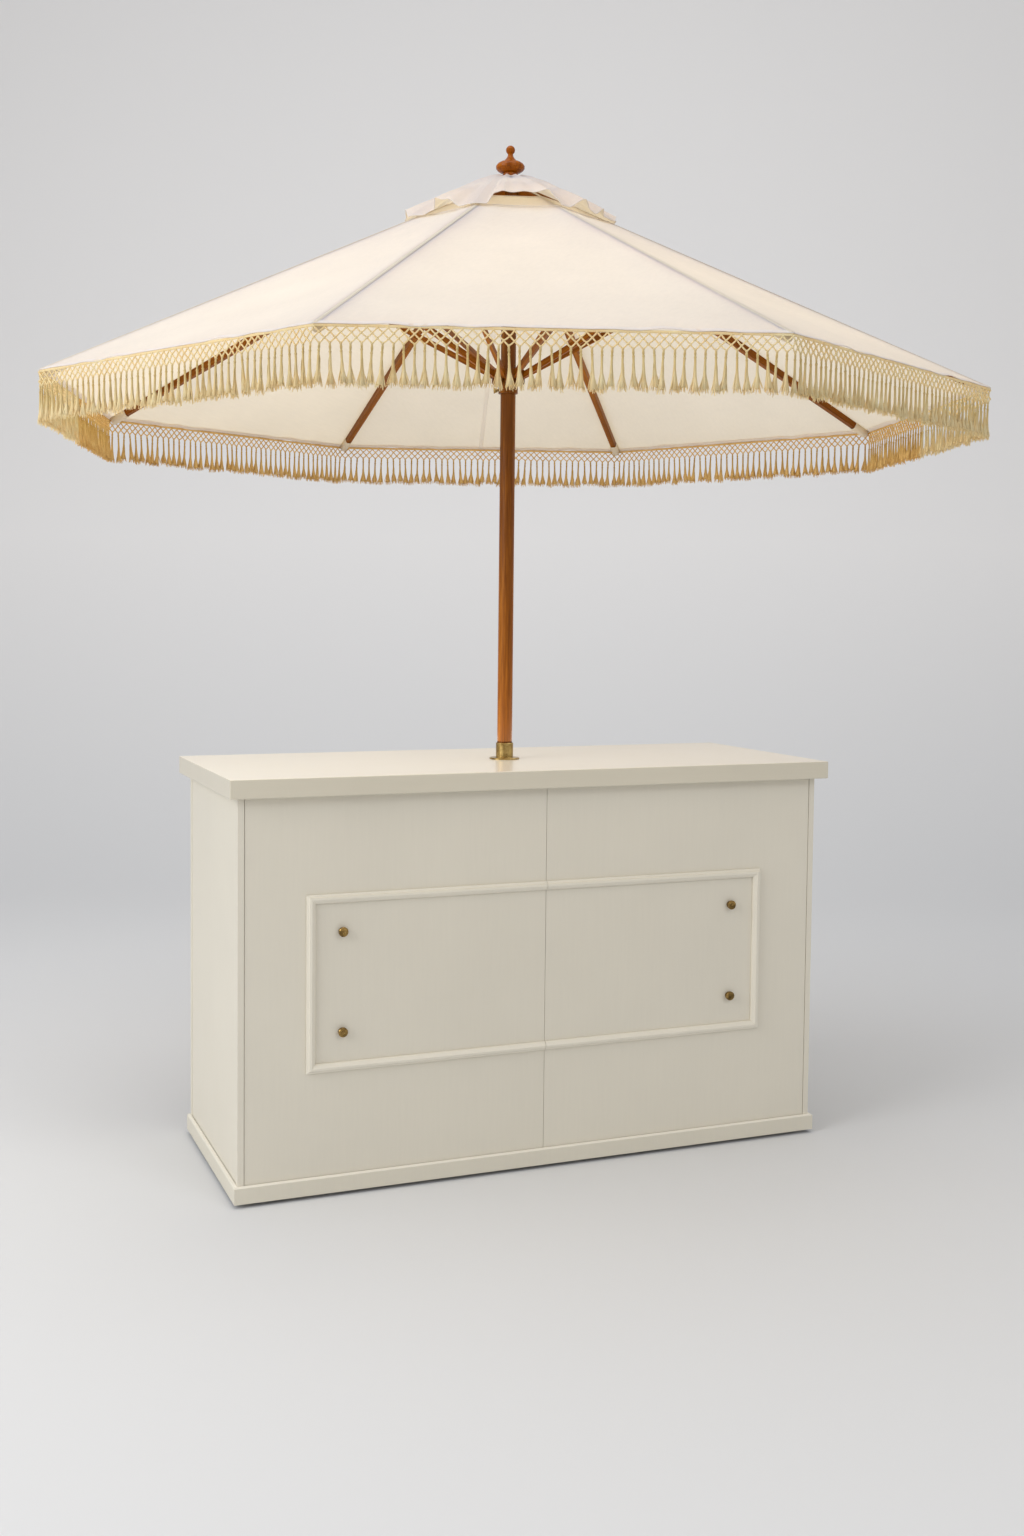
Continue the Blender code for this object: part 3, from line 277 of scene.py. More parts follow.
def strips(rows, across, flip=False):
    """Faces between neighbouring rows of points."""
    faces = []
    for j in range(rows - 1):
        for i in range(across - 1):
            a = j * across + i
            b = a + across
            faces.append((a, a + 1, b + 1, b) if flip else (a, b, b + 1, a + 1))
    return faces


def mesh_object(name, verts, faces, mat, smooth=True):
    mesh = bpy.data.meshes.new(name)
    mesh.from_pydata([tuple(v) for v in verts], [], faces)
    mesh.materials.append(mat)
    if smooth:
        mesh.shade_smooth()
    mesh.update()
    obj = bpy.data.objects.new(name, mesh)
    bpy.context.scene.collection.objects.link(obj)
    return obj


class Parts:
    """Collects tubes, beads and strips into one mesh."""

    def __init__(self):
        self.verts, self.faces, self.count = [], [], 0

    def put(self, verts, faces):
        self.verts.append(np.asarray(verts, float))
        self.faces += [tuple(i + self.count for i in f) for f in faces]
        self.count += len(verts)

    def tube(self, path, radii, sides=5, cap=True):
        path = np.asarray(path, float)
        n = len(path)
        ahead = np.gradient(path, axis=0)
        ahead /= np.maximum(np.linalg.norm(ahead, axis=1), 1e-9)[:, None]
        ref = np.array([0.0, 1.0, 0.0]) if abs(ahead[:, 1]).max() < 0.9 else np.array([1.0, 0.0, 0.0])
        a = np.cross(ahead, ref)
        a /= np.maximum(np.linalg.norm(a, axis=1), 1e-9)[:, None]
        b = np.cross(ahead, a)
        turn = np.arange(sides) * 2 * math.pi / sides
        radii = np.broadcast_to(np.asarray(radii, float), (n,))
        ring = (a[:, None, :] * np.cos(turn)[None, :, None] + b[:, None, :] * np.sin(turn)[None, :, None])
        verts = (path[:, None, :] + ring * radii[:, None, None]).reshape(-1, 3)
        faces = []
        for j in range(n - 1):
            for i in range(sides):
                k = (i + 1) % sides
                faces.append((j * sides + i, j * sides + k, (j + 1) * sides + k, (j + 1) * sides + i))
        if cap:
            faces.append(tuple(range(sides))[::-1])
            faces.append(tuple((n - 1) * sides + i for i in range(sides)))
        self.put(verts, faces)

    def bead(self, centre, rx, ry, rz, around=6, up=4):
        cx, cy, cz = centre
        verts = [(cx, cy, cz + rz)]
        for j in range(1, up):
            a = math.pi * j / up
            for i in range(around):
                b = 2 * math.pi * i / around
                verts.append((cx + rx * math.sin(a) * math.cos(b), cy + ry * math.sin(a) * math.sin(b),
                              cz + rz * math.cos(a)))
        verts.append((cx, cy, cz - rz))
        last = len(verts) - 1
        faces = [(0, 1 + i, 1 + (i + 1) % around) for i in range(around)]
        for j in range(up - 2):
            for i in range(around):
                k = (i + 1) % around
                a, b = 1 + j * around, 1 + (j + 1) * around
                faces.append((a + i, b + i, b + k, a + k))
        base = 1 + (up - 2) * around
        faces += [(last, base + (i + 1) % around, base + i) for i in range(around)]
        self.put(verts, faces)

    def make(self, name, mat, smooth=True):
        return mesh_object(name, np.concatenate(self.verts), self.faces, mat, smooth)


# Materials on the CAD nodes

UPRIGHT_TONES = ((70, 36, 3), (119, 66, 9), (170, 107, 33))
FINIAL_TONES = ((84, 34, 0), (138, 70, 2), (186, 106, 16))
white = paint("warm white paint", srgb(226, 220, 205))
# Painted highlight: the moulding's paint is lighter than the panels' to stand in for the light its beads
# catch.
trim_white_lit = paint("trim paint, painted highlight", srgb(232, 226, 211), 0.36)
# Painted highlight on the plinth's upper faces and painted shade on its lower faces.
plinth_white_lit_and_shaded = paint("plinth paint, painted highlight and shade", srgb(224, 218, 202), top=[srgb(246, 241, 229)],
                     under=[srgb(40, 37, 33)])
# Painted shade on the deck's lower faces.
inside_white_shaded_under = paint("inside paint, painted shade under", srgb(231, 226, 214), 0.5, under=[srgb(60, 55, 48)])
shelf_white = paint("shelf paint", srgb(231, 226, 214), 0.5)
# Painted light on the countertop's upper faces, lightest at the left end where the key light grazes it.
countertop_lit_top = paint("countertop lacquer", srgb(217, 210, 192), 0.34, 0.03, (1, 0, 0), 0.30,
                  top=[srgb(248, 243, 230), srgb(232, 225, 211)])
stain = paint("dark stain", srgb(46, 42, 38), 0.7, 0.1, (0, 1, 0))
upright_wood = timber("upright hardwood", (0, 0, 1), 0.40, 0.09, 0.92, UPRIGHT_TONES)
finial_wood = timber("finial hardwood", (0, 0, 1), 0.24, 0.07, 1.15, FINIAL_TONES)
collar_brass = brass("satin brass", srgb(198, 172, 112), srgb(136, 108, 60), 0.28)
dark_brass = brass("antique brass", srgb(176, 144, 86), srgb(84, 64, 34), 0.24)

PANELS = ("side_panel_left", "side_panel_right", "front_panel_left", "front_panel_right")
COATS = (
    (white, PANELS),
    (trim_white_lit, ("moulding_left", "moulding_right")),
    (plinth_white_lit_and_shaded, ("plinth",)),
    (inside_white_shaded_under, ("base_deck",)),
    (shelf_white, ("seam_batten", "shelf", "rear_rail")),
    (countertop_lit_top, ("countertop",)),
    (stain, ("foot_rail_left", "foot_rail_right")),
    (upright_wood, ("lower_pole", "upper_pole", "pole_socket", "top_hub", "runner")),
    (finial_wood, ("finial",)),
    (collar_brass, ("pole_collar", "pole_ferrule", "runner_knob")),
    (dark_brass, ("standoff_top_left", "standoff_top_right", "standoff_bottom_left",
                  "standoff_bottom_right")),
)
for coat, names in COATS:
    for name in names:
        dress(NODES[name], coat)


def soften(obj):
    """Rounds a painted board's sharp edges a little."""
    step = obj.modifiers.new("soft edge", "BEVEL")
    step.width = 0.0008
    step.segments = 2
    step.limit_method = "ANGLE"
    step.angle_limit = math.radians(30)
    step.harden_normals = False


for name in PANELS + ("plinth",):
    soften(NODES[name])


# Canopy

def rib_angle(k):
    return PHASE + 2 * math.pi * k / RIBS


def rim_frame(k):
    a = rib_angle(k)
    return np.array([math.cos(a), math.sin(a), 0.0]), np.array([-math.sin(a), math.cos(a), 0.0])


def roof(k, radius, share, lift, dip):
    """A point over rib k: share -1 to 1 runs from one mid-panel line to the other."""
    u, t = rim_frame(k)
    across = share * radius * math.cos(HALF) * math.sin(HALF)
    inward = abs(share) * radius * math.sin(HALF) ** 2
    z = HUB_Z - (radius - HUB_R) * math.tan(SLOPE) + lift / math.cos(SLOPE) - dip
    p = u * (radius - inward) + t * across
    return np.array([p[0], p[1], z])


def panel_seed(k, share):
    """The number that gives each panel, between two ribs, its own creases."""
    return (k if share > 0 else (k - 1) % RIBS) * 1.9


def canvas_dip(radius, share, seed):
    """How far the cloth falls below the straight line between two ribs."""
    part = (radius - VENT_R) / (RIM_R - VENT_R)
    middle = 1.0 - (1.0 - abs(share)) ** 2
    sag = 0.012 * math.sin(math.pi * min(max(part, 0.0), 1.0)) * middle
    edge = math.sin(math.pi * abs(share)) ** 2
    ripple = 0.0016 * math.sin(9.0 * share + 3.0 * part + seed) * math.sin(7.0 * part + 1.7 * seed)
    pull = 0.0022 * math.exp(-((part - 1.0) / 0.10) ** 2) * math.sin(26.0 * abs(share) + seed)
    return sag + edge * (ripple + pull)


outer_cloth = canvas("canopy canvas", srgb(232, 240, 255), srgb(255, 231, 186), 0.56)
# Painted light: the seam's canvas is warmer than the canopy's, standing in for the warm light that the rib
# beneath keeps from coming through.
seam_cloth_painted_light = canvas("seam canvas, painted through-light", srgb(236, 230, 216), srgb(252, 232, 192), 0.30)
hem_cloth = canvas("hem canvas", srgb(242, 243, 246), srgb(252, 230, 188), 0.34)
pocket_cloth = canvas("pocket canvas", srgb(246, 236, 216), srgb(250, 226, 184), 0.30)


def grid(name, rows, mat):
    return mesh_object(name, [p for row in rows for p in row], strips(len(rows), len(rows[0])), mat)


SIDES = {-1: "left", 1: "right"}
SHEET_LIFT, HEM_LIFT, BAND_LIFT = RIB_TOP + 0.0012, RIB_TOP + 0.0010, RIB_TOP + 0.0022
STITCH = [0.0002, 0.00035, 0.0002]


def label(stem, k, side):
    return "%s_%d_%s" % (stem, k + 1, SIDES[side])


def half(side, count):
    """Shares of the way from the rib to mid-panel on one side, in rising order."""
    return np.linspace(-1, 0, count) if side < 0 else np.linspace(0, 1, count)


def gore(k, side):
    """Half of the cloth over one rib, from the vent to the hem."""
    rows = []
    steps = 44
    for j in range(steps + 1):
        radius = VENT_R + (RIM_R - VENT_R) * j / steps
        row = []
        for share in half(side, 15):
            row.append(roof(k, radius, share, SHEET_LIFT, canvas_dip(radius, share, panel_seed(k, share))))
        rows.append(row)
    return grid(label("canopy_cloth", k, side), rows, outer_cloth)


def smooth(x, low, high):
    t = min(max((x - low) / (high - low), 0.0), 1.0)
    return t * t * (3 - 2 * t)


# How high the cap's hem arches on its way from one rib to the next, for three front panels and the others.
ARCHES = {
    4: ((0.0, 0.0), (0.20, -0.002), (0.38, 0.001), (0.45, 0.033), (0.60, 0.022), (0.79, 0.001), (1.0, 0.0)),
    5: ((0.0, 0.0), (0.13, 0.001), (0.24, 0.025), (0.34, 0.031), (0.62, 0.029), (0.80, 0.037), (0.92, 0.016),
        (1.0, 0.0)),
    6: ((0.0, 0.0), (0.12, 0.001), (0.36, 0.031), (0.50, 0.006), (0.58, 0.004), (0.71, 0.021), (0.76, 0.001),
        (1.0, 0.0)),
}
SPARE_ARCHES = (
    ((0.0, 0.0), (0.16, 0.002), (0.34, 0.026), (0.55, 0.030), (0.74, 0.024), (0.84, 0.002), (1.0, 0.0)),
    ((0.0, 0.0), (0.22, 0.004), (0.30, 0.030), (0.48, 0.020), (0.70, 0.031), (0.88, 0.006), (1.0, 0.0)),
)
# The cap over a rib by radius and height, then how far each rib's part lifts at the hem and how far it
# sinks near the finial.
CAP_LINE = ((0.0225, 2.6836), (0.034, 2.6845), (0.060, 2.6812), (0.0985, 2.6675), (0.163, 2.6325),
            (0.218, 2.5990), (0.270, 2.5640), (CAP_R, 2.5400))
CAP_LIFTS = (0.006, 0.002, 0.008, 0.004, 0.003, 0.0, 0.0, 0.003)
CAP_DROPS = (0.0, 0.002, 0.0, 0.002, 0.0, 0.0085, 0.0085, 0.0)


def even(points, x):
    """A value between listed points, eased from one to the next."""
    for (x0, y0), (x1, y1) in zip(points, points[1:]):
        if x <= x1:
            return y0 + (y1 - y0) * smooth(x, x0, x1)
    return points[-1][1]


def cap_point(k, part, share):
    """The vent cap: a flat dome at the finial, then a steeper fall to a hem that ruffles between ribs."""
    radius = CAP_LINE[0][0] + (CAP_R - CAP_LINE[0][0]) * part
    panel, across = (k, share / 2) if share >= 0 else ((k - 1) % RIBS, 1 + share / 2)
    arches = ARCHES.get(panel, SPARE_ARCHES[panel % 2])
    z = float(np.interp(radius, *zip(*CAP_LINE)))
    z += 0.0045 * (1 - abs(share)) * math.exp(-((radius - 0.036) / 0.026) ** 2)
    z += even(arches, across) * part ** 1.9
    lift, beside = CAP_LIFTS[k], CAP_LIFTS[(k + (1 if share >= 0 else -1)) % RIBS]
    z += (lift + (beside - lift) * abs(share) / 2) * part ** 1.5
    drop, beside = CAP_DROPS[k], CAP_DROPS[(k + (1 if share >= 0 else -1)) % RIBS]
    near = smooth(radius, CAP_LINE[0][0], 0.050) * (1 - smooth(radius, 0.075, 0.150))
    z -= (drop + (beside - drop) * abs(share) / 2 + 0.003 * abs(share)) * near
    ruffle = math.sin(math.pi * across)
    z += 0.0026 * part ** 2 * math.sin(across * 21.0 + panel * 1.7) * ruffle
    z -= 0.0050 * ruffle * math.sin(math.pi * min(part * 1.25, 1.0))
    swing = 0.35 * even(arches, across) * part ** 3
    p = roof(k, radius + swing, share, 0.0, 0.0)
    p[2] = z
    return p


def cap_petal(k, side):
    """Half of the vent cap over one rib."""
    shares = half(side, 33)
    rows = [[cap_point(k, (j / 26) ** 1.25, share) for share in shares] for j in range(27)]
    return grid(label("vent_cap", k, side), rows, outer_cloth)


def cap_binding(k, side):
    """The narrow rolled edge round the vent cap's hem."""
    edge = [Vector(cap_point(k, 1.0, share)) for share in half(side, 33)]
    parts = Parts()
    parts.tube([(p.x, p.y, p.z) for p in edge], 0.0014, 6, cap=False)
    return parts.make(label("vent_binding", k, side), hem_cloth)


def rib_point(k, s, h, y=0.0):
    """A point s along rib k from its pin, h above its middle line and y to the side."""
    u, t = rim_frame(k)
    x = HUB_R + s * math.cos(SLOPE) + h * math.sin(SLOPE)
    z = HUB_Z - s * math.sin(SLOPE) + h * math.cos(SLOPE)
    p = u * x + t * y
    return (p[0], p[1], z)


RIB_LENGTH = (RIM_R - 0.018 - HUB_R) / math.cos(SLOPE)


def vent_band(k, side):
    """The stitched edge of the band that faces the vent, under the cap."""
    parts = Parts()
    for radius, thick in ((BAND_R, 0.0016), (BAND_R + 0.012, 0.0006), (VENT_R, 0.0016)):
        dips = [(share, canvas_dip(radius, share, 0.0)) for share in half(side, 13)]
        parts.tube([roof(k, radius, share, BAND_LIFT, dip) for share, dip in dips], thick, 5, cap=False)
    return parts.make(label("vent_band", k, side), hem_cloth)


def panel_seam(k, side):
    """Half of the lapped seam that closes the canopy in the middle of its rear panel, on the underside."""
    rows = []
    for radius in np.linspace(BAND_R, RIM_R - 0.004, 36):
        half_width = radius * math.cos(HALF) * math.sin(HALF)
        row = []
        for inset, low in ((0.0, 0.0014), (0.0055, 0.0014), (0.0062, 0.0002)):
            share = side * (1 - inset / half_width)
            dip = canvas_dip(radius, share, panel_seed(k, side)) + low
            row.append(roof(k, radius, share, SHEET_LIFT, dip))
        rows.append(row)
    return grid("panel_seam_%d" % (k + 1), rows, hem_cloth)


def crown_patch():
    """The round patch clamped under the finial, beneath the cap."""
    parts = Parts()
    rings = ((0.004, 2.6826), (0.020, 2.6826), (0.030, 2.6812), (0.036, 2.6790), (0.0365, 2.6778),
             (0.030, 2.6800), (0.004, 2.6817))
    sides = 32
    turns = [2 * math.pi * i / sides for i in range(sides)]
    verts = [(r * math.cos(turn), r * math.sin(turn), z) for r, z in rings for turn in turns]
    faces = []
    for j in range(len(rings) - 1):
        for i in range(sides):
            a, b = j * sides + i, j * sides + (i + 1) % sides
            faces.append((a, b, b + sides, a + sides))
    faces += [tuple(range(sides)), tuple((len(rings) - 1) * sides + i for i in range(sides))]
    parts.put(verts, faces)
    return parts.make("crown_patch", hem_cloth)


def ridge_seam(k):
    """The flat felled seam over the rib, with its two lines of stitches."""
    parts = Parts()
    fall = math.tan(HALF) * math.sin(SLOPE)
    start, end = 0.105, RIB_LENGTH + 0.010
    section = [(-0.0065, 0.0014), (-0.0055, 0.0019), (0.0, 0.0023), (0.0055, 0.0019), (0.0065, 0.0014)]
    stations = np.linspace(start, end, 40)
    verts = []
    for s in stations:
        for y, lift in section:
            verts.append(rib_point(k, s, RIB_TOP + lift - abs(y) * fall, y))
    parts.put(verts, strips(len(stations), len(section)))
    for side in (-1, 1):
        y = side * 0.0042
        high = RIB_TOP + 0.0023 - abs(y) * fall
        low = high - 0.0004
        s = start
        while s < end - 0.006:
            bends = ((s, low), (s + 0.0018, high), (s + 0.0036, low))
            parts.tube([rib_point(k, at, h, y) for at, h in bends], STITCH, 3)
            s += 0.0052
    return parts.make("ridge_seam_%d" % (k + 1), seam_cloth_painted_light)


def pocket(k):
    """The cloth pocket that takes the rib's end."""
    fall = math.tan(HALF) * math.sin(SLOPE)
    parts = Parts()
    top = 0.0118
    verts = []
    rings = ((-0.050, 0.9), (-0.046, 1.0), (-0.020, 0.98), (0.0015, 0.92), (0.004, 0.70))
    for past, grow in rings:
        wide = 0.0112 * grow
        deep = -0.0072 - 0.0022 * grow
        section = ((top - wide * fall, -wide), (deep + 0.004, -wide), (deep, -wide + 0.004),
                   (deep - 0.0006, 0.0), (deep, wide - 0.004), (deep + 0.004, wide),
                   (top - wide * fall, wide))
        verts += [rib_point(k, RIB_LENGTH + past, h, y) for h, y in section]
    n = len(section)
    faces = strips(len(rings), n, flip=True)
    faces.append(tuple((len(rings) - 1) * n + i for i in range(n)))
    parts.put(verts, faces)
    obj = parts.make("rib_pocket_%d" % (k + 1), pocket_cloth)
    step = obj.modifiers.new("thickness", "SOLIDIFY")
    step.thickness = 0.0008
    step.offset = 0
    return obj


def hem_point(k, inset, share):
    radius = RIM_R - inset
    return roof(k, radius, share, HEM_LIFT, canvas_dip(radius, share, panel_seed(k, share)))


def hem_tape(k, side):
    """The turned hem along the canopy's edge, folded under, with a line of stitches."""
    parts = Parts()
    verts = []
    shares = half(side, 21)
    section = ((0.016, 0.0016), (0.002, 0.0016), (0.0, 0.0008), (0.0, -0.0002), (0.0025, -0.0006),
               (0.016, -0.0006))
    for inset, drop in section:
        for share in shares:
            p = hem_point(k, inset, share)
            p[2] -= drop
            verts.append(p)
    parts.put(verts, strips(len(section), len(shares), flip=True))
    for share in half(side, 190)[1::2]:
        bends = []
        for bit in (-0.0022, 0.0, 0.0022):
            p = hem_point(k, 0.013, share + bit)
            p[2] += 0.0006 + (0.0003 if bit == 0.0 else 0.0)
            bends.append(p)
        parts.tube(bends, STITCH, 3)
    return parts.make(label("hem", k, side), hem_cloth)


# In the folded parasol each half of the cloth gathers at its rib and swells outwards, so it narrows along a
# line tilted from the canopy's surface. The fringe narrows the same way and rises with the scalloped hem.
GATHER, GATHER_KEEP = math.radians(26.0), 0.11
SEAMED = ((1, 1), (2, -1))
for k in range(RIBS):
    body = "rib_%d" % (k + 1)
    u, t = rim_frame(k)
    seam, end = ridge_seam(k), pocket(k)
    for obj in (seam, end):
        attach(obj, body)
    for side in SIDES:
        sheet, hem, band = gore(k, side), hem_tape(k, side), vent_band(k, side)
        cap, roll = cap_petal(k, side), cap_binding(k, side)
        laps = [panel_seam(k, side)] if (k, side) in SEAMED else []
        normal = u * math.sin(SLOPE) + np.array([0, 0, math.cos(SLOPE)])
        line = side * math.cos(GATHER) * t - math.sin(GATHER) * normal
        for obj in [sheet, hem, band, cap, roll] + laps:
            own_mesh(obj)
            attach(obj, body)
        if side < 0:
            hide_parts("canopy_gore_%d" % (k + 1))


# Ribs and struts

RIB_TONES = ((84, 40, 2), (132, 74, 8), (178, 112, 28))
STRUT_SLOPE = SLOPE + 0.04
for k in range(RIBS):
    u, t = rim_frame(k)
    down = u * math.cos(SLOPE) - np.array([0, 0, 1]) * math.sin(SLOPE)
    rise = u * math.cos(STRUT_SLOPE) + np.array([0, 0, 1]) * math.sin(STRUT_SLOPE)
    for stem, grain in (("rib", down), ("strut", rise)):
        wood = timber("%s hardwood %d" % (stem, k + 1), tuple(grain), 0.40, 0.03, 1.05, RIB_TONES)
        dress(NODES["%s_%d" % (stem, k + 1)], wood)
patch = crown_patch()
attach(patch, "mast")
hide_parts("canopy_crown")


# Fringe

FRINGE = 0.128
CHORD = RIM_R * math.sin(HALF)
DIAMONDS = 23
PITCH = CHORD / DIAMONDS
NET_ROWS = 3
NET = 0.038
TAPE = 0.006
STRANDS = 22
SPREAD = 0.0106
# Painted shade on the fringe, by drop below the hem: darker and browner round the tassels' necks, under the
# net.
DEPTHS = ((0.0, 1.0), (0.034, 0.98), (0.046, 0.74), (0.072, 0.82), (0.104, 1.0), (0.130, 1.0))
PAINTED_SHADE = [(RIM_Z - drop, value, 1.25) for drop, value in DEPTHS]
cord_yarn = yarn("fringe cord", srgb(255, 244, 204), srgb(250, 217, 154), 0.24, PAINTED_SHADE)
rear_yarn = yarn("shaded fringe cord", srgb(250, 218, 150), srgb(218, 170, 96), 0.24, PAINTED_SHADE)


def fringe_tape(parts, k):
    """The flat cord that the net hangs on."""
    verts = []
    stations = np.linspace(0, CHORD, 47)
    section = ((0.0006, 0.0), (0.0012, -TAPE * 0.5), (0.0006, -TAPE), (-0.0006, -TAPE),
               (-0.0012, -TAPE * 0.5), (-0.0006, 0.0))
    for x in stations:
        wave = 0.0004 * math.sin(x * 90 + k)
        verts += [(x, wave + y, z) for y, z in section]
    n = len(section)
    faces = []
    for j in range(len(stations) - 1):
        for i in range(n):
            a, b = j * n + i, j * n + (i + 1) % n
            faces.append((a, b, b + n, a + n))
    parts.put(verts, faces)


def net_knots(rng):
    """Rows of knots, each row half a diamond off the one above."""
    knots = []
    for row in range(NET_ROWS + 1):
        shift = 0.5 if row % 2 else 0.0
        height = -TAPE - row * ((NET - TAPE) / NET_ROWS)
        line = []
        for n in range(DIAMONDS + 1):
            x = (n + shift) * PITCH
            if x > CHORD + 1e-6:
                continue
            jitter = rng.normal(0, 0.0006, 2) if row else np.zeros(2)
            aside = jitter[0] if 0 < x < CHORD - 1e-3 else 0.0
            line.append((x + aside, rng.normal(0, 0.0004), height + jitter[1]))
        knots.append(line)
    return knots


def net_cords(parts, knots, rng):
    """Cords from each knot to the two below it, and the knots themselves."""
    for row in range(NET_ROWS):
        for a in knots[row]:
            for b in knots[row + 1]:
                if abs(abs(a[0] - b[0]) - PITCH / 2) < PITCH * 0.3:
                    bow = 0.0006 * rng.normal()
                    mid = ((a[0] + b[0]) / 2, (a[1] + b[1]) / 2 + bow, (a[2] + b[2]) / 2 - 0.0006)
                    parts.tube([a, mid, b], 0.0018, 5)
        for b in knots[row + 1]:
            parts.bead(b, 0.0031, 0.0031, 0.0032)
    for a in knots[0]:
        parts.bead(a, 0.0026, 0.0026, 0.0028)


def tassel(parts, knot, rng):
    """Two cords from a knot to the tassel's own, a core, and brushed strands that flare out round it."""
    x, y, z = knot
    lean = rng.normal(0, 0.0032)
    out = rng.normal(0, 0.0016)
    neck = z - rng.uniform(0.012, 0.020)
    end = -FRINGE + rng.uniform(-0.002, 0.007)
    hang = (x + lean * 0.2, y + out * 0.2, neck)
    for strand in (-1, 1):
        mid = (x + strand * 0.0012 + lean * 0.1, y, (z + neck) / 2)
        parts.tube([(x + strand * 0.0004, y, z), mid, hang], 0.0017, 5)
    parts.bead(hang, 0.0031, 0.0031, 0.0040)
    base = np.array([hang[0], hang[1], neck - 0.001])
    core_end = np.array([x + lean, y + out, end + 0.008])
    core = [base + (core_end - base) * f for f in (0.0, 0.3, 0.65, 1.0)]
    parts.tube(core, [0.0024, 0.0026, 0.0036, 0.0064], 7)
    for strand in range(STRANDS):
        angle = 2 * math.pi * (strand + rng.uniform(-0.4, 0.4)) / STRANDS
        spread = rng.uniform(0.62, 1.18) * SPREAD
        tip = end + rng.uniform(-0.003, 0.009)
        wob = rng.normal(0, 0.0009, 2)
        b = np.array([x + lean + spread * math.cos(angle), y + out + 0.62 * spread * math.sin(angle), tip])
        path = []
        for f in (0.0, 0.25, 0.5, 0.78, 1.0):
            ease = f ** 2.1
            p = base + (b - base) * np.array([ease, ease, f])
            p[0] += wob[0] * math.sin(f * 5.0)
            p[1] += wob[1] * math.sin(f * 4.0)
            path.append(p)
        parts.tube(path, [0.0006, 0.0008, 0.0010, 0.0013, 0.0007], 3, cap=False)


def fringe_half(k, side):
    """Half a side's fringe. Local x runs from the rib's corner to mid-panel, y outwards and z up."""
    rng = np.random.default_rng(100 + 2 * k + (side > 0))
    parts = Parts()
    fringe_tape(parts, k)
    knots = net_knots(rng)
    net_cords(parts, knots, rng)
    for knot in knots[-1]:
        if side > 0 or knot[0] <= CHORD - PITCH * 0.2:
            tassel(parts, knot, rng)
    return parts


def fringe_object(k, side):
    parts = fringe_half(k, side)
    local = np.concatenate(parts.verts)
    u, t = rim_frame(k)
    along = -math.sin(HALF) * u + side * math.cos(HALF) * t
    outward = math.cos(HALF) * u + side * math.sin(HALF) * t
    corner = u * (RIM_R - 0.0022) + np.array([0, 0, RIM_Z + 0.0006])
    world = corner + local[:, :1] * along + local[:, 1:2] * outward + local[:, 2:3] * np.array([0, 0, 1.0])
    flip = np.linalg.det(np.array([along, outward, [0, 0, 1]])) < 0
    faces = [f[::-1] for f in parts.faces] if flip else parts.faces
    name = "fringe_%d_%s" % (k + 1, "b" if side > 0 else "a")
    return mesh_object(name + "_cords", world, faces, rear_yarn if k < 4 else cord_yarn), along, corner


# Out, sideways and up: the line along which each half of the fringe gathers in the folded parasol.
FRINGE_LINE = (-0.5154, 0.8131, -0.2714)
for k in range(RIBS):
    for side in SIDES:
        obj, along, corner = fringe_object(k, side)
        u, t = rim_frame(k)
        line = FRINGE_LINE[0] * u + side * FRINGE_LINE[1] * t + np.array([0, 0, FRINGE_LINE[2]])
        line = line / np.linalg.norm(line)
        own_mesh(obj)
        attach(obj, "fringe_%d" % (k + 1))
    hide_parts("fringe_%d" % (k + 1))


# Camera

WIDTH, HEIGHT, SENSOR = 1024.0, 1536.0, 36.0
FOCAL, PX, PY = 1550.0, 480.0, 694.18
EYE = Vector((-1.6649, -4.0287, 1.4816))
YAW, TILT, ROLL = -0.3757, -0.0527, 0.0092
cam_data = bpy.data.cameras.new("camera")
cam = bpy.data.objects.new("camera", cam_data)
bpy.context.scene.collection.objects.link(cam)
forward = Vector((-math.sin(YAW) * math.cos(TILT), math.cos(YAW) * math.cos(TILT), math.sin(TILT)))
right = Vector((math.cos(YAW), math.sin(YAW), 0.0))
up = right.cross(forward)
rolled_right = right * math.cos(ROLL) + up * math.sin(ROLL)
rolled_up = up * math.cos(ROLL) - right * math.sin(ROLL)
turn = Matrix((rolled_right, rolled_up, -forward)).transposed()
cam.matrix_world = Matrix.Translation(EYE) @ turn.to_4x4()
cam_data.sensor_width = SENSOR
cam_data.lens = FOCAL * SENSOR / HEIGHT
cam_data.shift_x = (WIDTH / 2 - PX) / HEIGHT
cam_data.shift_y = (PY - HEIGHT / 2) / HEIGHT
cam_data.clip_end = 200.0
bpy.context.scene.camera = cam


# Floor, backdrop and lights

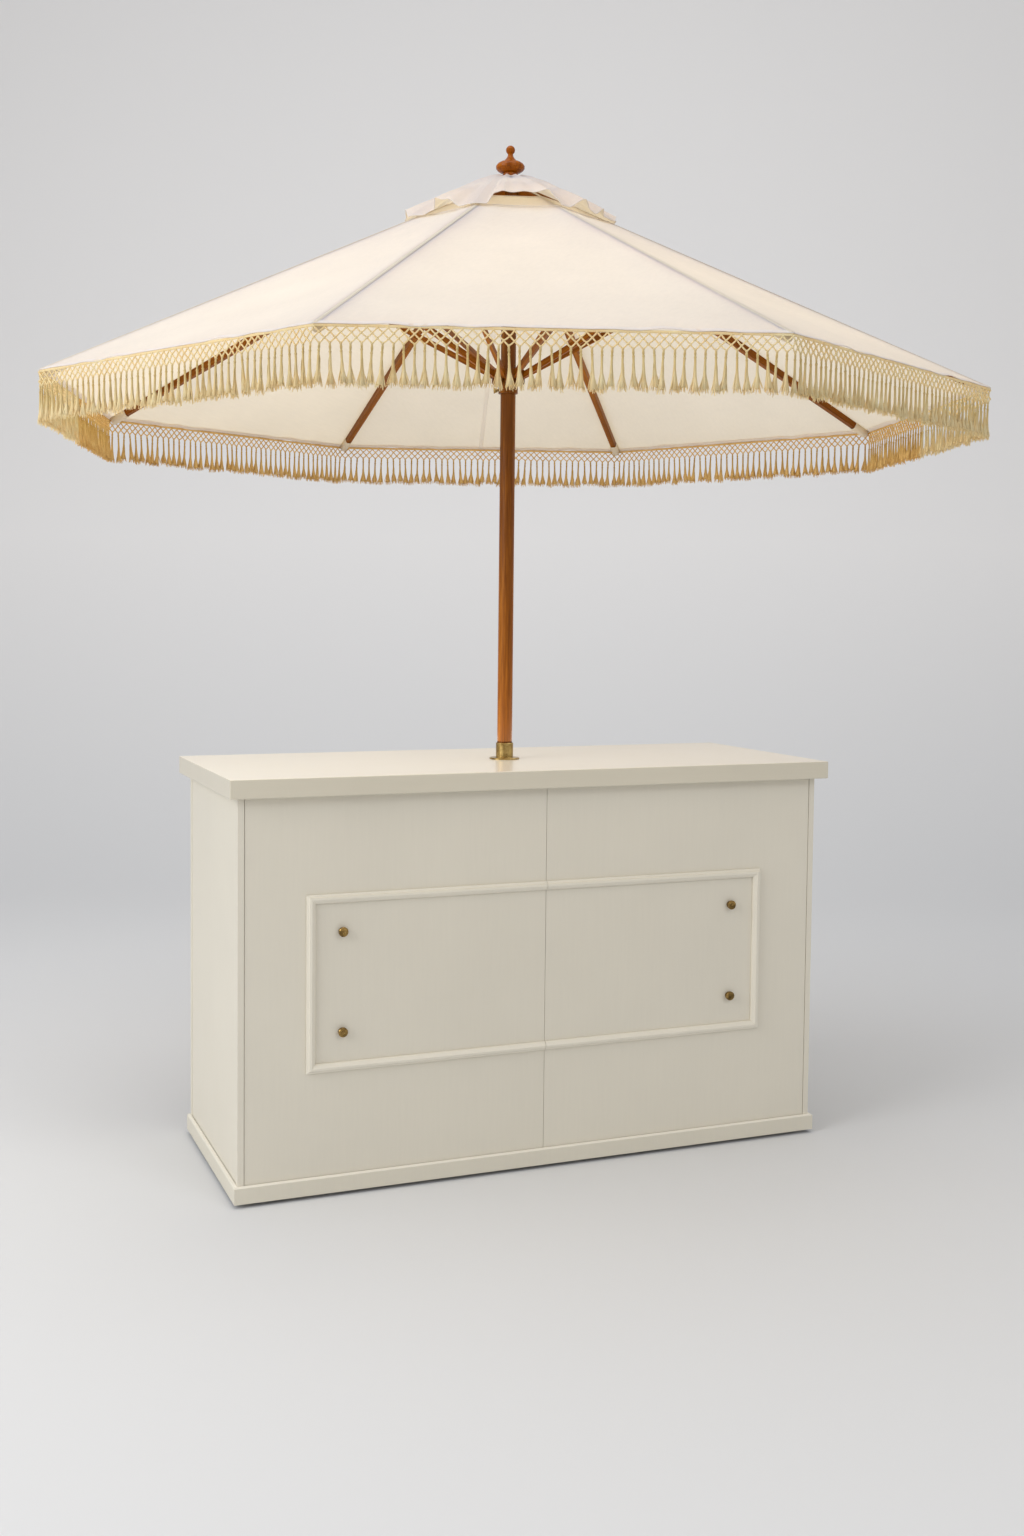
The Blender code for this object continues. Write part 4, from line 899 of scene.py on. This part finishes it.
def cyclorama():
    """A pale floor that curves up into a pale wall behind the bar, with painted light that brightens it with
    height.
    """
    back = Vector((-math.sin(YAW), math.cos(YAW), 0))
    side = Vector((math.cos(YAW), math.sin(YAW), 0))
    reach, curve, tall, steps = 3.5, 4.0, 14.0, 24
    profile = [(-9.0, 0.0), (-2.0, 0.0), (reach, 0.0)]
    for i in range(1, steps + 1):
        a = math.pi / 2 * i / steps
        profile.append((reach + curve * math.sin(a), curve - curve * math.cos(a)))
    profile.append((reach + curve, tall))
    verts = []
    for d, z in profile:
        for w in (-14.0, 14.0):
            p = back * d + side * w
            verts.append((p.x, p.y, z - 0.0002))
    faces = strips(len(profile), 2, flip=True)
    s = Shader("sweep with painted light")
    at = s.coords()
    height = s.math("DIVIDE", s.part(at, "Z"), 2.4)
    tone = s.math("ADD", height, s.math("MULTIPLY", s.noise(at, 0.6, 2.0), 0.02), clamp=True)
    # Painted light: the colour lightens with height, from the floor to high up the wall.
    colour = s.ramp(tone, [(0.02, srgb(222, 223, 225)), (0.85, srgb(246, 245, 245))])
    bsdf = s.add("ShaderNodeBsdfDiffuse", None, Color=colour)
    obj = mesh_object("studio_sweep", verts, faces, s.done(bsdf.outputs[0]))


cyclorama()


def area_light(name, place, target, size, power, colour=(1, 1, 1)):
    data = bpy.data.lights.new(name, "AREA")
    data.shape = "RECTANGLE"
    data.size, data.size_y = size
    data.energy = power
    data.color = colour
    obj = bpy.data.objects.new(name, data)
    bpy.context.scene.collection.objects.link(obj)
    obj.location = place
    aim = Vector(target) - Vector(place)
    obj.rotation_euler = aim.to_track_quat("-Z", "Y").to_euler()
    obj.visible_camera = False


area_light("key", (-5.6, -1.6, 3.4), (0, 0, 1.3), (3.5, 3.5), 160.0)
area_light("front_fill", (2.0, -5.6, 4.7), (0.2, -0.3, 0.9), (2.6, 2.0), 55.0, (1.0, 0.99, 0.98))
area_light("top", (-1.0, -0.5, 6.0), (0, 0, 2.2), (4.0, 4.0), 84.0)
area_light("wall_wash", (1.2, 1.6, 6.0), (2.9, 7.0, 2.6), (7.0, 2.0), 36.0)
area_light("bounce", (0.0, -0.1, 1.12), (0, -0.1, 3.0), (1.5, 0.6), 7.9, (1.0, 0.93, 0.79))
for name, x in (("under_left", -0.68), ("under_right", 0.68)):
    area_light(name, (x, -0.1, 1.98), (x, -0.1, 0.0), (0.5, 0.6), 1.55, (1.0, 0.97, 0.93))
world = bpy.data.worlds.new("studio")
bpy.context.scene.world = world
world.use_nodes = True
world.node_tree.nodes["Background"].inputs["Color"].default_value = (1.0, 0.995, 0.99, 1.0)
world.node_tree.nodes["Background"].inputs["Strength"].default_value = 0.50
bpy.context.scene.view_settings.view_transform = "Standard"
